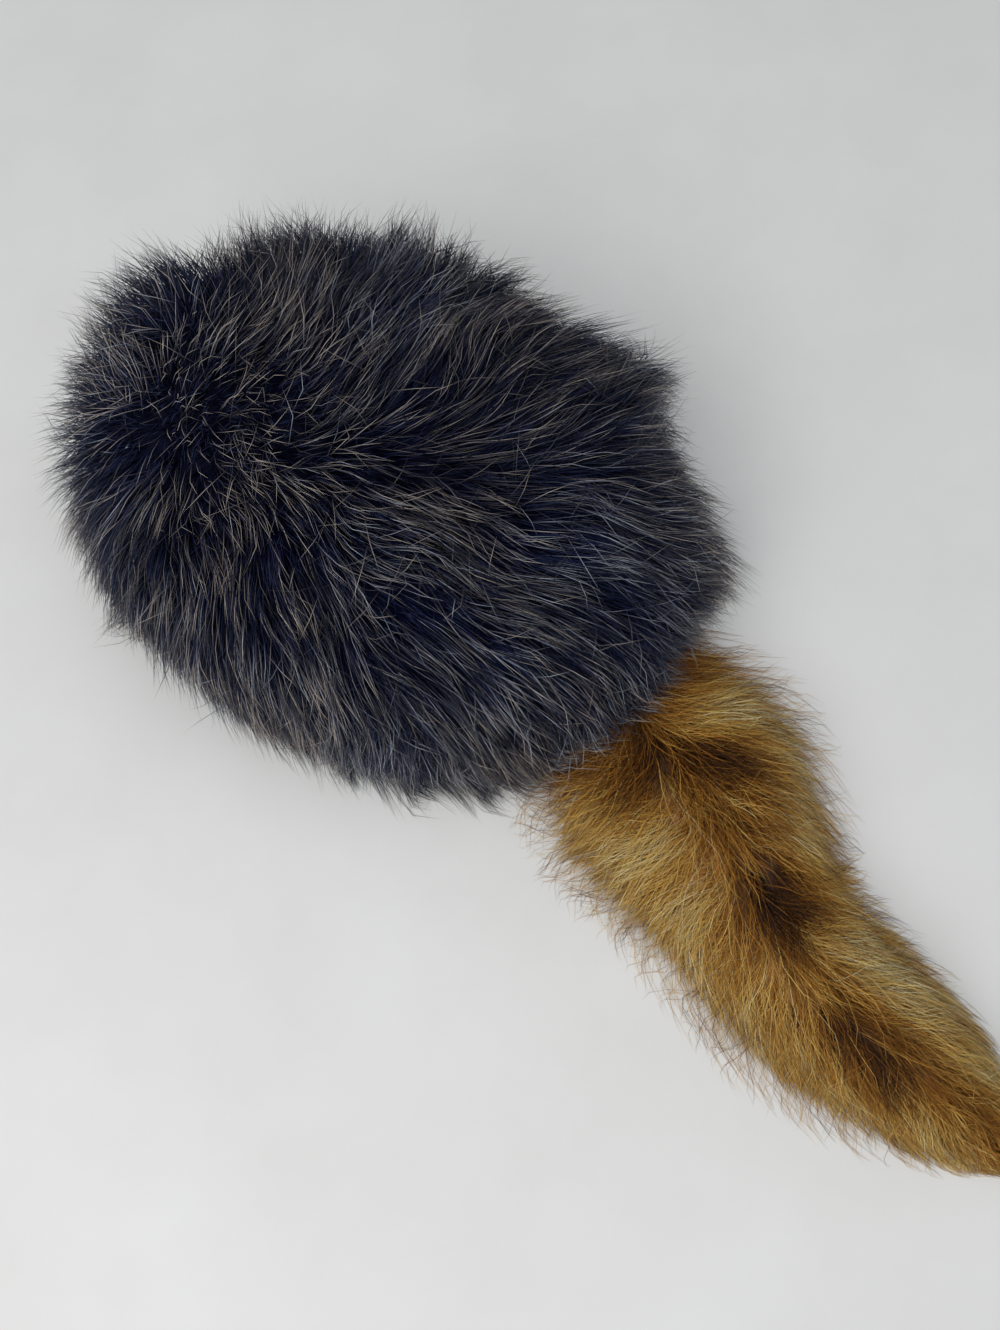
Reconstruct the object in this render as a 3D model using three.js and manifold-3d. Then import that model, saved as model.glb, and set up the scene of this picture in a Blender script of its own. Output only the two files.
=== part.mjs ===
// A fur cap with a ringed tail, resting on a table with its tail laid out behind it.
// The cap is two panels of deep pile cloth: an oval crown and a side band with a turned-in hem.
// Each panel is a thin cloth wall, and its pile is a solid of the fur's outer form. The tail is a
// narrow hide, sewn by its end to the back of the band, inside a solid of its own fur's outer form.
// Lengths are in millimetres. The cap faces -Y, +Z is up and the table is z = 0. The last lines
// put the origin on the table, under the middle of the whole thing.
import * as THREE from "three";
import { mergeVertices } from "three/addons/utils/BufferGeometryUtils.js";
import Module from "manifold-3d";

const wasm = await Module();
wasm.setup();

// Driving dimensions
const CLOTH = 2; // thickness of the pile cloth's woven back
const GAP = 0.3; // left between neighbouring pieces
const HEM = { height: 18, extra: 2 }; // the hem is turned in once, so its wall is thicker
const HEM_EDGE_SHARE = 0.94; // the turned-in edge slopes in over the rest of the hem's height
const HEM_LIFT = 2.5; // fur squashed between the hem and the table
const SEAM_PLACE = 0.6; // where the crown is sewn to the band, as a share of the way up the tables
const AROUND_STEPS = 56;
const BAND_LEVELS = 9;
const CROWN_LEVELS = 8;
const INNER_LEVELS = 7;
const MERGE_DISTANCE = 1e-4;
const SAMPLE_STEP = 1e-3; // a share of a table, for reading which way a form faces or heads

// The cap's sections from the hem up to the middle of the crown. Each row is one level: how far the
// oval reaches from the middle towards the front, each side and the back.
const CLOTH_FORM = [
  { height: 2.5, front: 102, side: 79, back: 102 },
  { height: 26, front: 103, side: 80, back: 103 },
  { height: 50, front: 100, side: 78, back: 101 },
  { height: 70, front: 91, side: 71, back: 93 },
  { height: 84, front: 75, side: 59, back: 78 },
  { height: 92, front: 52, side: 41, back: 55 },
  { height: 96.5, front: 26, side: 21, back: 28 },
  { height: 98, front: 0, side: 0, back: 0 },
];

// The same levels on the outside of the fur, row for row. The lowest row lies on the table.
const FUR_FORM = [
  { height: 0, front: 116, side: 91, back: 119 },
  { height: 22, front: 124, side: 97, back: 129 },
  { height: 48, front: 123, side: 96, back: 128 },
  { height: 75, front: 114, side: 88, back: 118 },
  { height: 95, front: 92, side: 71, back: 97 },
  { height: 107, front: 62, side: 48, back: 66 },
  { height: 112.5, front: 31, side: 24, back: 33 },
  { height: 114, front: 0, side: 0, back: 0 },
];

// Where the fur stands proud in a lock or parts in a dip: degrees round from the cap's left side
// through its back, place up the tables, reach outwards, and how far the lock spreads each way.
const LOCKS = [
  { around: 104, place: 0.1, reach: 7, breadth: 8, tall: 0.16 },
  { around: 144, place: 0.32, reach: 7, breadth: 9, tall: 0.18 },
  { around: 162, place: 0.45, reach: -4, breadth: 8, tall: 0.18 },
  { around: 45, place: 0.05, reach: 8, breadth: 10, tall: 0.13 },
  { around: 22, place: 0.04, reach: 5, breadth: 8, tall: 0.12 },
  { around: -28, place: 0.05, reach: -9, breadth: 15, tall: 0.14 },
  { around: -52, place: 0.06, reach: 5, breadth: 7, tall: 0.14 },
  { around: 190, place: 0.5, reach: 4, breadth: 9, tall: 0.18 },
  { around: 215, place: 0.45, reach: 5, breadth: 11, tall: 0.18 },
  { around: 238, place: 0.42, reach: -5, breadth: 8, tall: 0.16 },
  { around: 262, place: 0.3, reach: 4, breadth: 14, tall: 0.22 },
];

// The tail's middle line on the table and its fur's size there, from the band to the tip.
const TAIL_FORM = [
  { x: -4, y: 74, halfWidth: 31, height: 22 },
  { x: 32, y: 118, halfWidth: 44, height: 38 },
  { x: 51, y: 147, halfWidth: 48, height: 43 },
  { x: 70, y: 173, halfWidth: 41, height: 41 },
  { x: 87, y: 194, halfWidth: 34, height: 38 },
  { x: 98, y: 219, halfWidth: 31, height: 35 },
  { x: 105, y: 244, halfWidth: 28, height: 32 },
  { x: 111, y: 267, halfWidth: 23, height: 27 },
  { x: 117, y: 289, halfWidth: 15, height: 19 },
  { x: 121, y: 304, halfWidth: 6, height: 9 },
];
const TAIL_SECTIONS = 22;
const TAIL_SIDES = 28;
const TAIL_WIDEST = 0.36; // height of the widest level of a section, as a share of its height
const TAIL_TIP = 3; // how far the closing point stands beyond the last section

// The hide inside the tail: a flattened tube, wider at the end that is sewn to the band.
const HIDE = {
  rootAround: 76, // degrees from the cap's left side towards its back
  rootHeight: 24,
  turnHeight: 14,
  turnOut: 1.5, // how far it leans out from the cloth where it turns
  turnShare: 1 / 12, // of its length, in which it turns from the cloth into the tail's own line
  firstPlace: 0.1, // where it joins the tail's middle line, and where it ends, as shares of the line
  lastPlace: 0.86,
  level: 0.34, // its height in the tail, as a share of the fur's height
  points: 9, // of its path along the tail
  tip: 1, // how far the closing point stands beyond the last section
};
const HIDE_FORM = [
  { halfWidth: 7.5, halfThick: 2 },
  { halfWidth: 7, halfThick: 2.6 },
  { halfWidth: 5.5, halfThick: 2.8 },
  { halfWidth: 2.6, halfThick: 1.8 },
];
const HIDE_SECTIONS = 26;
const HIDE_SIDES = 14;

const COLOURS = {
  cloth: 0x25262d,
  capFur: 0x23242c,
  hide: 0xb59b78,
  tailFur: 0xb98f55,
};

// One column of a table between its rows, on a smooth curve. A table that ends on the axis goes on
// mirrored past it, so that the top is round and not pointed.
function readColumn(rows, column, place) {
  const last = rows.length - 1;
  const at = THREE.MathUtils.clamp(place, 0, 1) * last;
  const row = Math.min(Math.floor(at), last - 1);
  const value = (i) => {
    if (i < 0) return 2 * rows[0][column] - rows[1][column];
    if (i <= last) return rows[i][column];
    const onAxis = rows[last].side === 0;
    if (!onAxis) return 2 * rows[last][column] - rows[last - 1][column];
    return column === "height" ? rows[last - 1].height : -rows[last - 1][column];
  };
  const [a, b, c, d] = [-1, 0, 1, 2].map((step) => value(row + step));
  const t = at - row;
  const bend = 2 * a - 5 * b + 4 * c - d + (3 * (b - c) + d - a) * t;
  return b + 0.5 * t * (c - a + t * bend);
}

// A point of the cap's form. around is in radians, 0 on the left side and a quarter turn at the back.
function formPoint(rows, place, around) {
  const back = Math.sin(around) > 0;
  return new THREE.Vector3(
    readColumn(rows, "side", place) * Math.cos(around),
    readColumn(rows, back ? "back" : "front", place) * Math.sin(around),
    readColumn(rows, "height", place),
  );
}

// Which way the form faces at a place.
function formNormal(rows, place, around) {
  const low = Math.max(place - SAMPLE_STEP, 0);
  const high = Math.min(place + SAMPLE_STEP, 1 - SAMPLE_STEP);
  const up = formPoint(rows, high, around).sub(formPoint(rows, low, around));
  const ahead = formPoint(rows, place, around + SAMPLE_STEP);
  const along = ahead.sub(formPoint(rows, place, around - SAMPLE_STEP));
  return along.cross(up).normalize();
}

// The cloth's outer side moved outwards, or inwards if distance is negative.
function clothPoint(place, around, distance) {
  if (place >= 1) return formPoint(CLOTH_FORM, 1, around).add(new THREE.Vector3(0, 0, distance));
  const normal = formNormal(CLOTH_FORM, place, around);
  return formPoint(CLOTH_FORM, place, around).addScaledVector(normal, distance);
}

// The outside of the fur, with its locks and dips.
function furPoint(place, around) {
  const point = formPoint(FUR_FORM, place, around);
  if (place >= 1) return point;
  const degrees = THREE.MathUtils.radToDeg(around);
  let reach = 0;
  for (const lock of LOCKS) {
    const turn = THREE.MathUtils.euclideanModulo(degrees - lock.around + 180, 360) - 180;
    const away = (turn / lock.breadth) ** 2 + ((place - lock.place) / lock.tall) ** 2;
    reach += lock.reach * Math.exp(-away);
  }
  const normal = formNormal(FUR_FORM, place, around);
  if (place === 0) normal.setZ(0).normalize();
  return point.addScaledVector(normal, reach);
}

// A closed body from rings of points, each joined to the next. With poles the first and last rings
// are single points. Without them the last ring is joined to the first.
function ringBody(rings, poles) {
  const points = rings.flat();
  const starts = [];
  rings.reduce((start, ring) => (starts.push(start), start + ring.length), 0);
  const index = [];
  const joins = poles ? rings.length - 1 : rings.length;
  for (let i = 0; i < joins; i++) {
    const [near, far] = [i, (i + 1) % rings.length];
    const steps = Math.max(rings[near].length, rings[far].length);
    const at = (ring, k) => starts[ring] + (rings[ring].length === 1 ? 0 : k % steps);
    for (let k = 0; k < steps; k++) {
      const corners = [at(near, k), at(near, k + 1), at(far, k + 1), at(far, k)];
      if (corners[0] !== corners[1]) index.push(corners[0], corners[1], corners[2]);
      if (corners[2] !== corners[3]) index.push(corners[0], corners[2], corners[3]);
    }
  }
  const geometry = new THREE.BufferGeometry().setFromPoints(points).setIndex(index);
  if (signedVolume(points, index) < 0) {
    for (let i = 0; i < index.length; i += 3) [index[i], index[i + 1]] = [index[i + 1], index[i]];
    geometry.setIndex(index);
  }
  geometry.computeVertexNormals();
  return geometry;
}

function signedVolume(points, index) {
  let sum = 0;
  for (let i = 0; i < index.length; i += 3) {
    const [a, b, c] = [0, 1, 2].map((corner) => points[index[i + corner]]);
    sum += a.dot(b.clone().cross(c));
  }
  return sum;
}

// One closed ring of points round the cap.
function ringAround(pointAt) {
  return Array.from({ length: AROUND_STEPS }, (_, k) => pointAt((2 * Math.PI * k) / AROUND_STEPS));
}

// Evenly spaced places from one end of a stretch to the other.
function spaced(from, to, count) {
  return Array.from({ length: count }, (_, k) => THREE.MathUtils.lerp(from, to, k / (count - 1)));
}

function solidFrom(geometry) {
  const bare = new THREE.BufferGeometry();
  bare.setAttribute("position", geometry.getAttribute("position"));
  bare.setIndex(geometry.index);
  const merged = mergeVertices(bare, MERGE_DISTANCE);
  return new wasm.Manifold(
    new wasm.Mesh({
      numProp: 3,
      vertProperties: merged.attributes.position.array,
      triVerts: new Uint32Array(merged.index.array),
    }),
  );
}

function geometryFrom(solid) {
  const mesh = solid.getMesh();
  const geometry = new THREE.BufferGeometry();
  geometry.setAttribute("position", new THREE.BufferAttribute(mesh.vertProperties, 3));
  geometry.setIndex(new THREE.BufferAttribute(mesh.triVerts, 1));
  geometry.computeVertexNormals();
  return geometry;
}

// The crown's cloth: a domed oval wall that ends at the seam.
function crownCloth() {
  const places = spaced(1, SEAM_PLACE, CROWN_LEVELS).slice(1);
  const outer = places.map((place) => ringAround((a) => clothPoint(place, a, 0)));
  const inner = places.map((place) => ringAround((a) => clothPoint(place, a, -CLOTH)));
  const poles = [clothPoint(1, 0, 0), clothPoint(1, 0, -CLOTH)];
  return ringBody([[poles[0]], ...outer, ...inner.reverse(), [poles[1]]], true);
}

// The band's levels, from the hem up to just under the seam.
const SEAM_GAP = 0.0045; // a share of the way up the tables that is one gap long at the seam
const BAND_PLACES = spaced(0, SEAM_PLACE - SEAM_GAP, BAND_LEVELS);

// The band's cloth: an oval tube from the hem up to the seam, thicker where the hem is turned in.
function bandCloth() {
  const hemPlace = HEM.height / CLOTH_FORM[1].height / (CLOTH_FORM.length - 1);
  const outer = BAND_PLACES.map((place) => ringAround((a) => clothPoint(place, a, 0)));
  const upper = spaced(BAND_PLACES.at(-1), hemPlace, INNER_LEVELS);
  const inner = upper.map((place) => ringAround((a) => clothPoint(place, a, -CLOTH)));
  const hem = [hemPlace * HEM_EDGE_SHARE, 0].map((place) =>
    ringAround((a) => clothPoint(place, a, -CLOTH - HEM.extra)),
  );
  hem[1].forEach((point) => point.setZ(HEM_LIFT));
  return ringBody([...outer, ...inner, ...hem], false);
}

// The crown's fur: a thick dome over the crown's cloth.
function crownFur() {
  const places = spaced(1, SEAM_PLACE, CROWN_LEVELS).slice(1);
  const outer = places.map((place) => ringAround((a) => furPoint(place, a)));
  const inner = places.map((place) => ringAround((a) => clothPoint(place, a, GAP)));
  const poles = [furPoint(1, 0), clothPoint(1, 0, GAP)];
  return ringBody([[poles[0]], ...outer, ...inner.reverse(), [poles[1]]], true);
}

// The band's fur: a thick tube that also goes under the hem, where it lies flat on the table.
function bandFur() {
  const outer = BAND_PLACES.map((place) => ringAround((a) => furPoint(place, a)));
  const inner = BAND_PLACES.map((place) => ringAround((a) => clothPoint(place, a, GAP)));
  const atHem = (height, inset) => ringAround((a) => clothPoint(0, a, -inset).setZ(height));
  const underHem = [atHem(HEM_LIFT - GAP, -GAP), atHem(HEM_LIFT - GAP, CLOTH + HEM.extra)];
  const foot = atHem(0, CLOTH + HEM.extra);
  return ringBody([...outer, ...inner.reverse(), ...underHem, foot], false);
}

// The tail's middle line on the table, and which way it heads there.
function tailLine(place) {
  return new THREE.Vector2(readColumn(TAIL_FORM, "x", place), readColumn(TAIL_FORM, "y", place));
}

function tailHeading(place) {
  const inside = THREE.MathUtils.clamp(place, 2 * SAMPLE_STEP, 1 - 2 * SAMPLE_STEP);
  return tailLine(inside + SAMPLE_STEP).sub(tailLine(inside - SAMPLE_STEP)).normalize();
}

// One section of the tail's fur: round on top and flat where it lies on the table. grow makes the
// whole section larger, and then it also goes through the table.
function tailSection(place, grow) {
  const middle = tailLine(place);
  const heading = tailHeading(place);
  const halfWidth = readColumn(TAIL_FORM, "halfWidth", place) + grow;
  const height = readColumn(TAIL_FORM, "height", place);
  const widest = height * TAIL_WIDEST;
  return Array.from({ length: TAIL_SIDES }, (_, k) => {
    const turn = (2 * Math.PI * k) / TAIL_SIDES;
    const across = halfWidth * Math.cos(turn);
    const above = height - widest + grow;
    const rise = Math.sin(turn) > 0 ? above * Math.sin(turn) : 0;
    const fall = Math.sin(turn) < 0 ? (widest + grow) * Math.sqrt(-Math.sin(turn)) : 0;
    return new THREE.Vector3(
      middle.x + heading.y * across,
      middle.y - heading.x * across,
      widest + rise - fall,
    );
  });
}

function middleOf(ring) {
  const sum = ring.reduce((total, point) => total.add(point), new THREE.Vector3());
  return sum.divideScalar(ring.length);
}

function tailForm(grow) {
  const rings = spaced(0, 1, TAIL_SECTIONS).map((place) => tailSection(place, grow));
  const root = middleOf(rings[0]);
  const tip = middleOf(rings[rings.length - 1]);
  const heading = tailHeading(1);
  tip.add(new THREE.Vector3(heading.x, heading.y, 0).multiplyScalar(TAIL_TIP + grow));
  return ringBody([[root], ...rings, [tip]], true);
}

// The hide: its end stands against the cloth of the band, turns out over the table and then follows
// the tail's middle line.
function hideForm(grow) {
  const around = THREE.MathUtils.degToRad(HIDE.rootAround);
  const rowShare = 1 / (CLOTH_FORM.length - 1);
  const risePlace = (height) => (height / CLOTH_FORM[1].height) * rowShare;
  const offset = GAP + HIDE_FORM[0].halfThick;
  const end = clothPoint(risePlace(HIDE.rootHeight), around, offset);
  const turn = clothPoint(risePlace(HIDE.turnHeight), around, offset + HIDE.turnOut);
  const facing = formNormal(CLOTH_FORM, risePlace(HIDE.rootHeight), around).setZ(0).normalize();
  const along = spaced(HIDE.firstPlace, HIDE.lastPlace, HIDE.points).map((place) => {
    const middle = tailLine(place);
    const height = readColumn(TAIL_FORM, "height", place) * HIDE.level;
    return new THREE.Vector3(middle.x, middle.y, height);
  });
  const path = new THREE.CatmullRomCurve3([end, turn, ...along], false, "centripetal");
  const rings = spaced(0, 1, HIDE_SECTIONS).map((share) => {
    const middle = path.getPointAt(share);
    const tangent = path.getTangentAt(share);
    const level = new THREE.Vector3(tangent.x, tangent.y, 0);
    const turned = Math.min(share / HIDE.turnShare, 1);
    const heading = facing.clone().lerp(level, turned).normalize();
    const wide = new THREE.Vector3(heading.y, -heading.x, 0);
    const thick = new THREE.Vector3().crossVectors(tangent, wide).normalize();
    const halfWidth = readColumn(HIDE_FORM, "halfWidth", share) + grow;
    const halfThick = readColumn(HIDE_FORM, "halfThick", share) + grow;
    return Array.from({ length: HIDE_SIDES }, (_, k) => {
      const angle = (2 * Math.PI * k) / HIDE_SIDES;
      return middle
        .clone()
        .addScaledVector(wide, halfWidth * Math.cos(angle))
        .addScaledVector(thick, halfThick * Math.sin(angle));
    });
  });
  const beyond = (ring, share, distance) =>
    ring.map((point) => point.clone().addScaledVector(path.getTangentAt(share), distance));
  if (grow) rings.unshift(beyond(rings[0], 0, -grow));
  if (grow) rings.push(beyond(rings.at(-1), 1, grow));
  const root = middleOf(rings[0]);
  const tip = middleOf(beyond(rings.at(-1), 1, HIDE.tip));
  return ringBody([[root], ...rings, [tip]], true);
}

const CUT = GAP + 0.1; // a little over the gap, as facets cut corners
const HIDE_ROOM = 0.6; // more where the hide bends sharply
const CORE_FOOT = -20; // below the table, so that the core cuts right through
const CORE_LEVELS = 6; // from the seam up

// All that the cap's cloth takes up and holds, and what is under it, made larger by a distance.
function clothCore(distance) {
  const places = [...BAND_PLACES, ...spaced(SEAM_PLACE, 1, CORE_LEVELS).slice(0, -1)];
  const rings = places.map((place) => ringAround((a) => clothPoint(place, a, distance)));
  const foot = rings[0].map((point) => point.clone().setZ(CORE_FOOT));
  const poles = [new THREE.Vector3(0, 0, CORE_FOOT), clothPoint(1, 0, distance)];
  return ringBody([[poles[0]], foot, ...rings, [poles[1]]], true);
}

// The band's fur, with room for the tail that comes out from under it.
function bandFurRoundTail() {
  const room = solidFrom(tailForm(CUT)).subtract(solidFrom(clothCore(0)));
  return geometryFrom(solidFrom(bandFur()).subtract(room));
}

// The tail's fur, which starts at the cloth and is open there for the hide.
function tailFurRoundHide() {
  const outside = solidFrom(tailForm(0)).subtract(solidFrom(clothCore(CUT)));
  return geometryFrom(outside.subtract(solidFrom(hideForm(HIDE_ROOM))));
}

function piece(name, geometry, colour, roughness) {
  const material = new THREE.MeshStandardMaterial({ color: colour, roughness, metalness: 0 });
  const mesh = new THREE.Mesh(geometry, material);
  mesh.name = name;
  return mesh;
}

const cap = new THREE.Group();
cap.add(
  piece("crown", crownCloth(), COLOURS.cloth, 0.95),
  piece("side_band", bandCloth(), COLOURS.cloth, 0.95),
  piece("crown_fur", crownFur(), COLOURS.capFur, 0.8),
  piece("band_fur", bandFurRoundTail(), COLOURS.capFur, 0.8),
  piece("tail_hide", hideForm(0), COLOURS.hide, 0.85),
  piece("tail_fur", tailFurRoundHide(), COLOURS.tailFur, 0.75),
);

const box = new THREE.Box3().setFromObject(cap);
const middle = box.getCenter(new THREE.Vector3());
cap.position.set(-middle.x, -middle.y, -box.min.z);

export default cap;
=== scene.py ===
# Looks of a fur cap that rests on a table with its ringed tail laid out behind it
import math

import bmesh
import bpy
import numpy as np
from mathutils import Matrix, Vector, bvhtree, kdtree


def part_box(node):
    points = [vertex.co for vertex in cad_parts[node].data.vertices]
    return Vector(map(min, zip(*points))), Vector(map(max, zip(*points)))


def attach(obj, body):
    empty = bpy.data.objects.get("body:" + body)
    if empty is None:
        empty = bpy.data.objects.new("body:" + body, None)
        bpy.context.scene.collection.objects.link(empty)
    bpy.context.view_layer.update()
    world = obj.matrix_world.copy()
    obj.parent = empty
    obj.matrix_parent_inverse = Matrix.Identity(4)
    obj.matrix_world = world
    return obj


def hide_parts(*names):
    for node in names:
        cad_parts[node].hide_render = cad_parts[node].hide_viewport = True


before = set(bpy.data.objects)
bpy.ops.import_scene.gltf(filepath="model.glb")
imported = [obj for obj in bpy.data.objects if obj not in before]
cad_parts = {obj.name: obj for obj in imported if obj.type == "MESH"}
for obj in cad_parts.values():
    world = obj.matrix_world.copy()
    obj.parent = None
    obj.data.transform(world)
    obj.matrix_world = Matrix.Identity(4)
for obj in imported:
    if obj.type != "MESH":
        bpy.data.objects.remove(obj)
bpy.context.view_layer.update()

# The view
# The camera stands at the wearer's left and a little behind, and looks steeply down, as the photograph
# does. Its place was fitted to the cap's outline, so it is given round the point that it looks at.
MM = 0.001
VIEW = {"azimuth": 114.2, "elevation": 73.8, "distance": 366, "target": (23.0, -23.4, 40), "lens": 27.07}

azimuth, elevation = math.radians(VIEW["azimuth"]), math.radians(VIEW["elevation"])
backward = Vector((
    math.sin(azimuth) * math.cos(elevation),
    -math.cos(azimuth) * math.cos(elevation),
    math.sin(elevation),
))


def placed(name, data):
    """A new object in the scene."""
    thing = bpy.data.objects.new(name, data)
    bpy.context.scene.collection.objects.link(thing)
    return thing


camera_data = bpy.data.cameras.new("camera")
camera_data.sensor_width = 36
camera_data.lens = VIEW["lens"]
camera_data.clip_start = 0.01
camera = placed("camera", camera_data)
camera.location = (Vector(VIEW["target"]) + backward * VIEW["distance"]) * MM
camera.rotation_euler = backward.to_track_quat("Z", "Y").to_euler()
bpy.context.scene.camera = camera

# The table and the light
# A plain white table top under soft light from above, brighter on the left, as in a room with a large
# window. None of it belongs to the cap.


def shade(red, green, blue):
    """A colour in the 0 to 255 of a screen, as a shader's own linear values."""
    linear = [((c / 255 + 0.055) / 1.055) ** 2.4 if c > 10 else c / 255 / 12.92 for c in (red, green, blue)]
    return (*linear, 1)


class Value:
    """A number on its way through a material's nodes. Python's operators on it add Math nodes."""

    def __init__(self, finish, socket):
        self.finish = finish
        self.socket = socket

    def math(self, operation, *values):
        node = self.finish.node("ShaderNodeMath", {"operation": operation}, dict(enumerate(values)))
        return Value(self.finish, node.outputs[0])

    def __add__(self, other):
        return self.math("ADD", self, other)

    def __sub__(self, other):
        return self.math("SUBTRACT", self, other)

    def __mul__(self, other):
        return self.math("MULTIPLY", self, other)

    def __truediv__(self, other):
        return self.math("DIVIDE", self, other)

    def floor(self):
        return self.math("FLOOR", self)

    def sine(self):
        return self.math("SINE", self)

    def between(self, start, end):
        """0 up to start and 1 from end, with a soft step in between. It falls if end comes first."""
        node = self.finish.node(
            "ShaderNodeMapRange",
            {"interpolation_type": "SMOOTHSTEP"},
            {"Value": self, "From Min": start, "From Max": end},
        )
        return Value(self.finish, node.outputs[0])


class Nodes:
    """A tree of nodes to add to."""

    def __init__(self, tree):
        self.tree = tree

    def node(self, kind, settings=None, values=None):
        """Adds a node: its settings first, then a value or a link for each socket by name or number."""
        node = self.tree.nodes.new(kind)
        for name, value in (settings or {}).items():
            if name == "stops":
                elements = node.color_ramp.elements
                for number, (place, colour) in enumerate(value):
                    element = elements[number] if number < 2 else elements.new(place)
                    element.position = place
                    element.color = colour
            else:
                setattr(node, name, value)
        for name, value in (values or {}).items():
            self.give(node.inputs[name], value)
        return node

    def give(self, socket, value):
        if isinstance(value, Value):
            value = value.socket
        if isinstance(value, bpy.types.NodeSocket):
            self.tree.links.new(value, socket)
        else:
            socket.default_value = value


class Finish(Nodes):
    """One material, made from nodes."""

    def __init__(self, name):
        self.material = bpy.data.materials.new(name)
        self.material.use_nodes = True
        super().__init__(self.material.node_tree)
        self.shader = self.tree.nodes["Principled BSDF"]

    def number(self, kind, settings=None, values=None, output=0):
        """A node's output as a number to reckon with."""
        return Value(self, self.node(kind, settings, values).outputs[output])

    def ramp(self, factor, *stops):
        """A place and a colour for each stop: a screen's three numbers, or a shader's own four."""
        stops = [(place, shade(*colour) if len(colour) == 3 else colour) for place, colour in stops]
        return self.node("ShaderNodeValToRGB", {"stops": stops}, {"Fac": factor}).outputs["Color"]

    def mix(self, factor, first, second, blend="MIX"):
        """Two colours mixed."""
        values = {0: factor, 6: first, 7: second}
        return self.node("ShaderNodeMix", {"data_type": "RGBA", "blend_type": blend}, values).outputs[2]

    def mottled(self, patches, grain, start, end, *pairs):
        """Two pairs of a dark and a pale colour, each mixed by the grain, the second in the patches."""
        return self.mix(patches, *(self.ramp(grain, (start, dark), (end, pale)) for dark, pale in pairs))

    def chart(self, name):
        """The two numbers of a UV map."""
        uv = self.node("ShaderNodeUVMap", {"uv_map": name}).outputs[0]
        split = self.node("ShaderNodeSeparateXYZ", None, {0: uv})
        return Value(self, split.outputs[0]), Value(self, split.outputs[1])

    def noise(self, size, detail=3, roughness=0.5):
        """Noise from 0 to 1 on the piece's own coordinates, in lumps of about a size in mm."""
        place = self.node("ShaderNodeTexCoord").outputs["Object"]
        values = {"Vector": place, "Scale": 1 / (size * MM), "Detail": detail, "Roughness": roughness}
        return self.number("ShaderNodeTexNoise", None, values)

    def bump(self, height, depth):
        """A normal from a height of 0 to 1 that is some mm deep."""
        values = {"Height": height, "Distance": depth * MM, "Strength": 1}
        return self.node("ShaderNodeBump", None, values).outputs["Normal"]

    def wear(self, **values):
        """Gives the surface shader its values, by socket name with _ for each space."""
        for name, value in values.items():
            self.give(self.shader.inputs[name.replace("_", " ")], value)
        return self.material


table_finish = Finish("table")
smudges = table_finish.noise(90, detail=5, roughness=0.6)
table_material = table_finish.wear(
    Base_Color=table_finish.ramp(smudges, (0.3, (226, 226, 224)), (0.7, (233, 233, 232))),
    Roughness=0.55,
)
table_mesh = bpy.data.meshes.new("table")
table_mesh.from_pydata([(-3, -3, 0), (3, -3, 0), (3, 3, 0), (-3, 3, 0)], [], [(0, 1, 2, 3)])
table_mesh.materials.append(table_material)
placed("table", table_mesh)

LAMPS = (
    # name, place in m, width in m, watts, colour
    ("window", (0.95, -0.3, 1.15), 1.1, 12.0, (1.0, 0.99, 0.965)),
    ("ceiling", (0.0, 0.25, 1.7), 1.6, 7.0, (0.97, 0.985, 1.0)),
)
for name, place, width, watts, colour in LAMPS:
    lamp_data = bpy.data.lights.new(name, "AREA")
    lamp_data.shape = "SQUARE"
    lamp_data.size = width
    lamp_data.energy = watts
    lamp_data.color = colour
    lamp = placed(name, lamp_data)
    lamp.location = place
    lamp.rotation_euler = Vector(place).to_track_quat("Z", "Y").to_euler()

world = bpy.data.worlds.new("room")
world.use_nodes = True
world.node_tree.nodes["Background"].inputs["Color"].default_value = (0.93, 0.96, 1.0, 1)
world.node_tree.nodes["Background"].inputs["Strength"].default_value = 0.35
bpy.context.scene.world = world
bpy.context.scene.view_settings.view_transform = "Standard"
bpy.context.scene.view_settings.look = "None"

# The crown
# The top panel is an oval of pile cloth, cut with its pile outwards and eased into a dome. From inside
# the cap only its knitted back shows, down to the narrow seam allowance that is turned inwards.
HEIGHT, FRONT, SIDE, BACK = range(4)
CLOTH_FORM = np.array([
    # height, front, side, back, in mm: the outer side of the cloth from the hem to the crown's middle
    (2.5, 102, 79, 102),
    (26, 103, 80, 103),
    (50, 100, 78, 101),
    (70, 91, 71, 93),
    (84, 75, 59, 78),
    (92, 52, 41, 55),
    (96.5, 26, 21, 28),
    (98, 0, 0, 0),
])
CLOTH = 2.0
SEAM_PLACE = 0.6  # where crown and band meet, as a share of the way up the table
SEAM_GAP = 0.0045  # between the two, as such a share
ALLOWANCE = 6.0  # of cloth past the seam
ALLOWANCE_RISE = 0.009  # its thickness, as a share of the way up
NEAR_TOP = 0.985  # the last ring's place, below the pole
LIP_ROUNDING = 0.006  # from the allowance's edge to the next ring of the cloth's back
ROUND = 160  # points in a ring
POLE_MARGIN = 2  # mm of the UV map between an end ring and its pole
SEAM_FOLD = 2.5  # mm from the cloth's outer side to where the allowance turns inwards

low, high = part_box("side_band")
cap_middle = np.array([(low.x + high.x) / 2, (low.y + high.y) / 2, 0]) / MM
ring_angles = np.linspace(0, 2 * np.pi, ROUND, endpoint=False)


def unit(vectors):
    """The same directions, 1 long."""
    return vectors / np.maximum(np.linalg.norm(vectors, axis=-1, keepdims=True), 1e-12)


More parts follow.
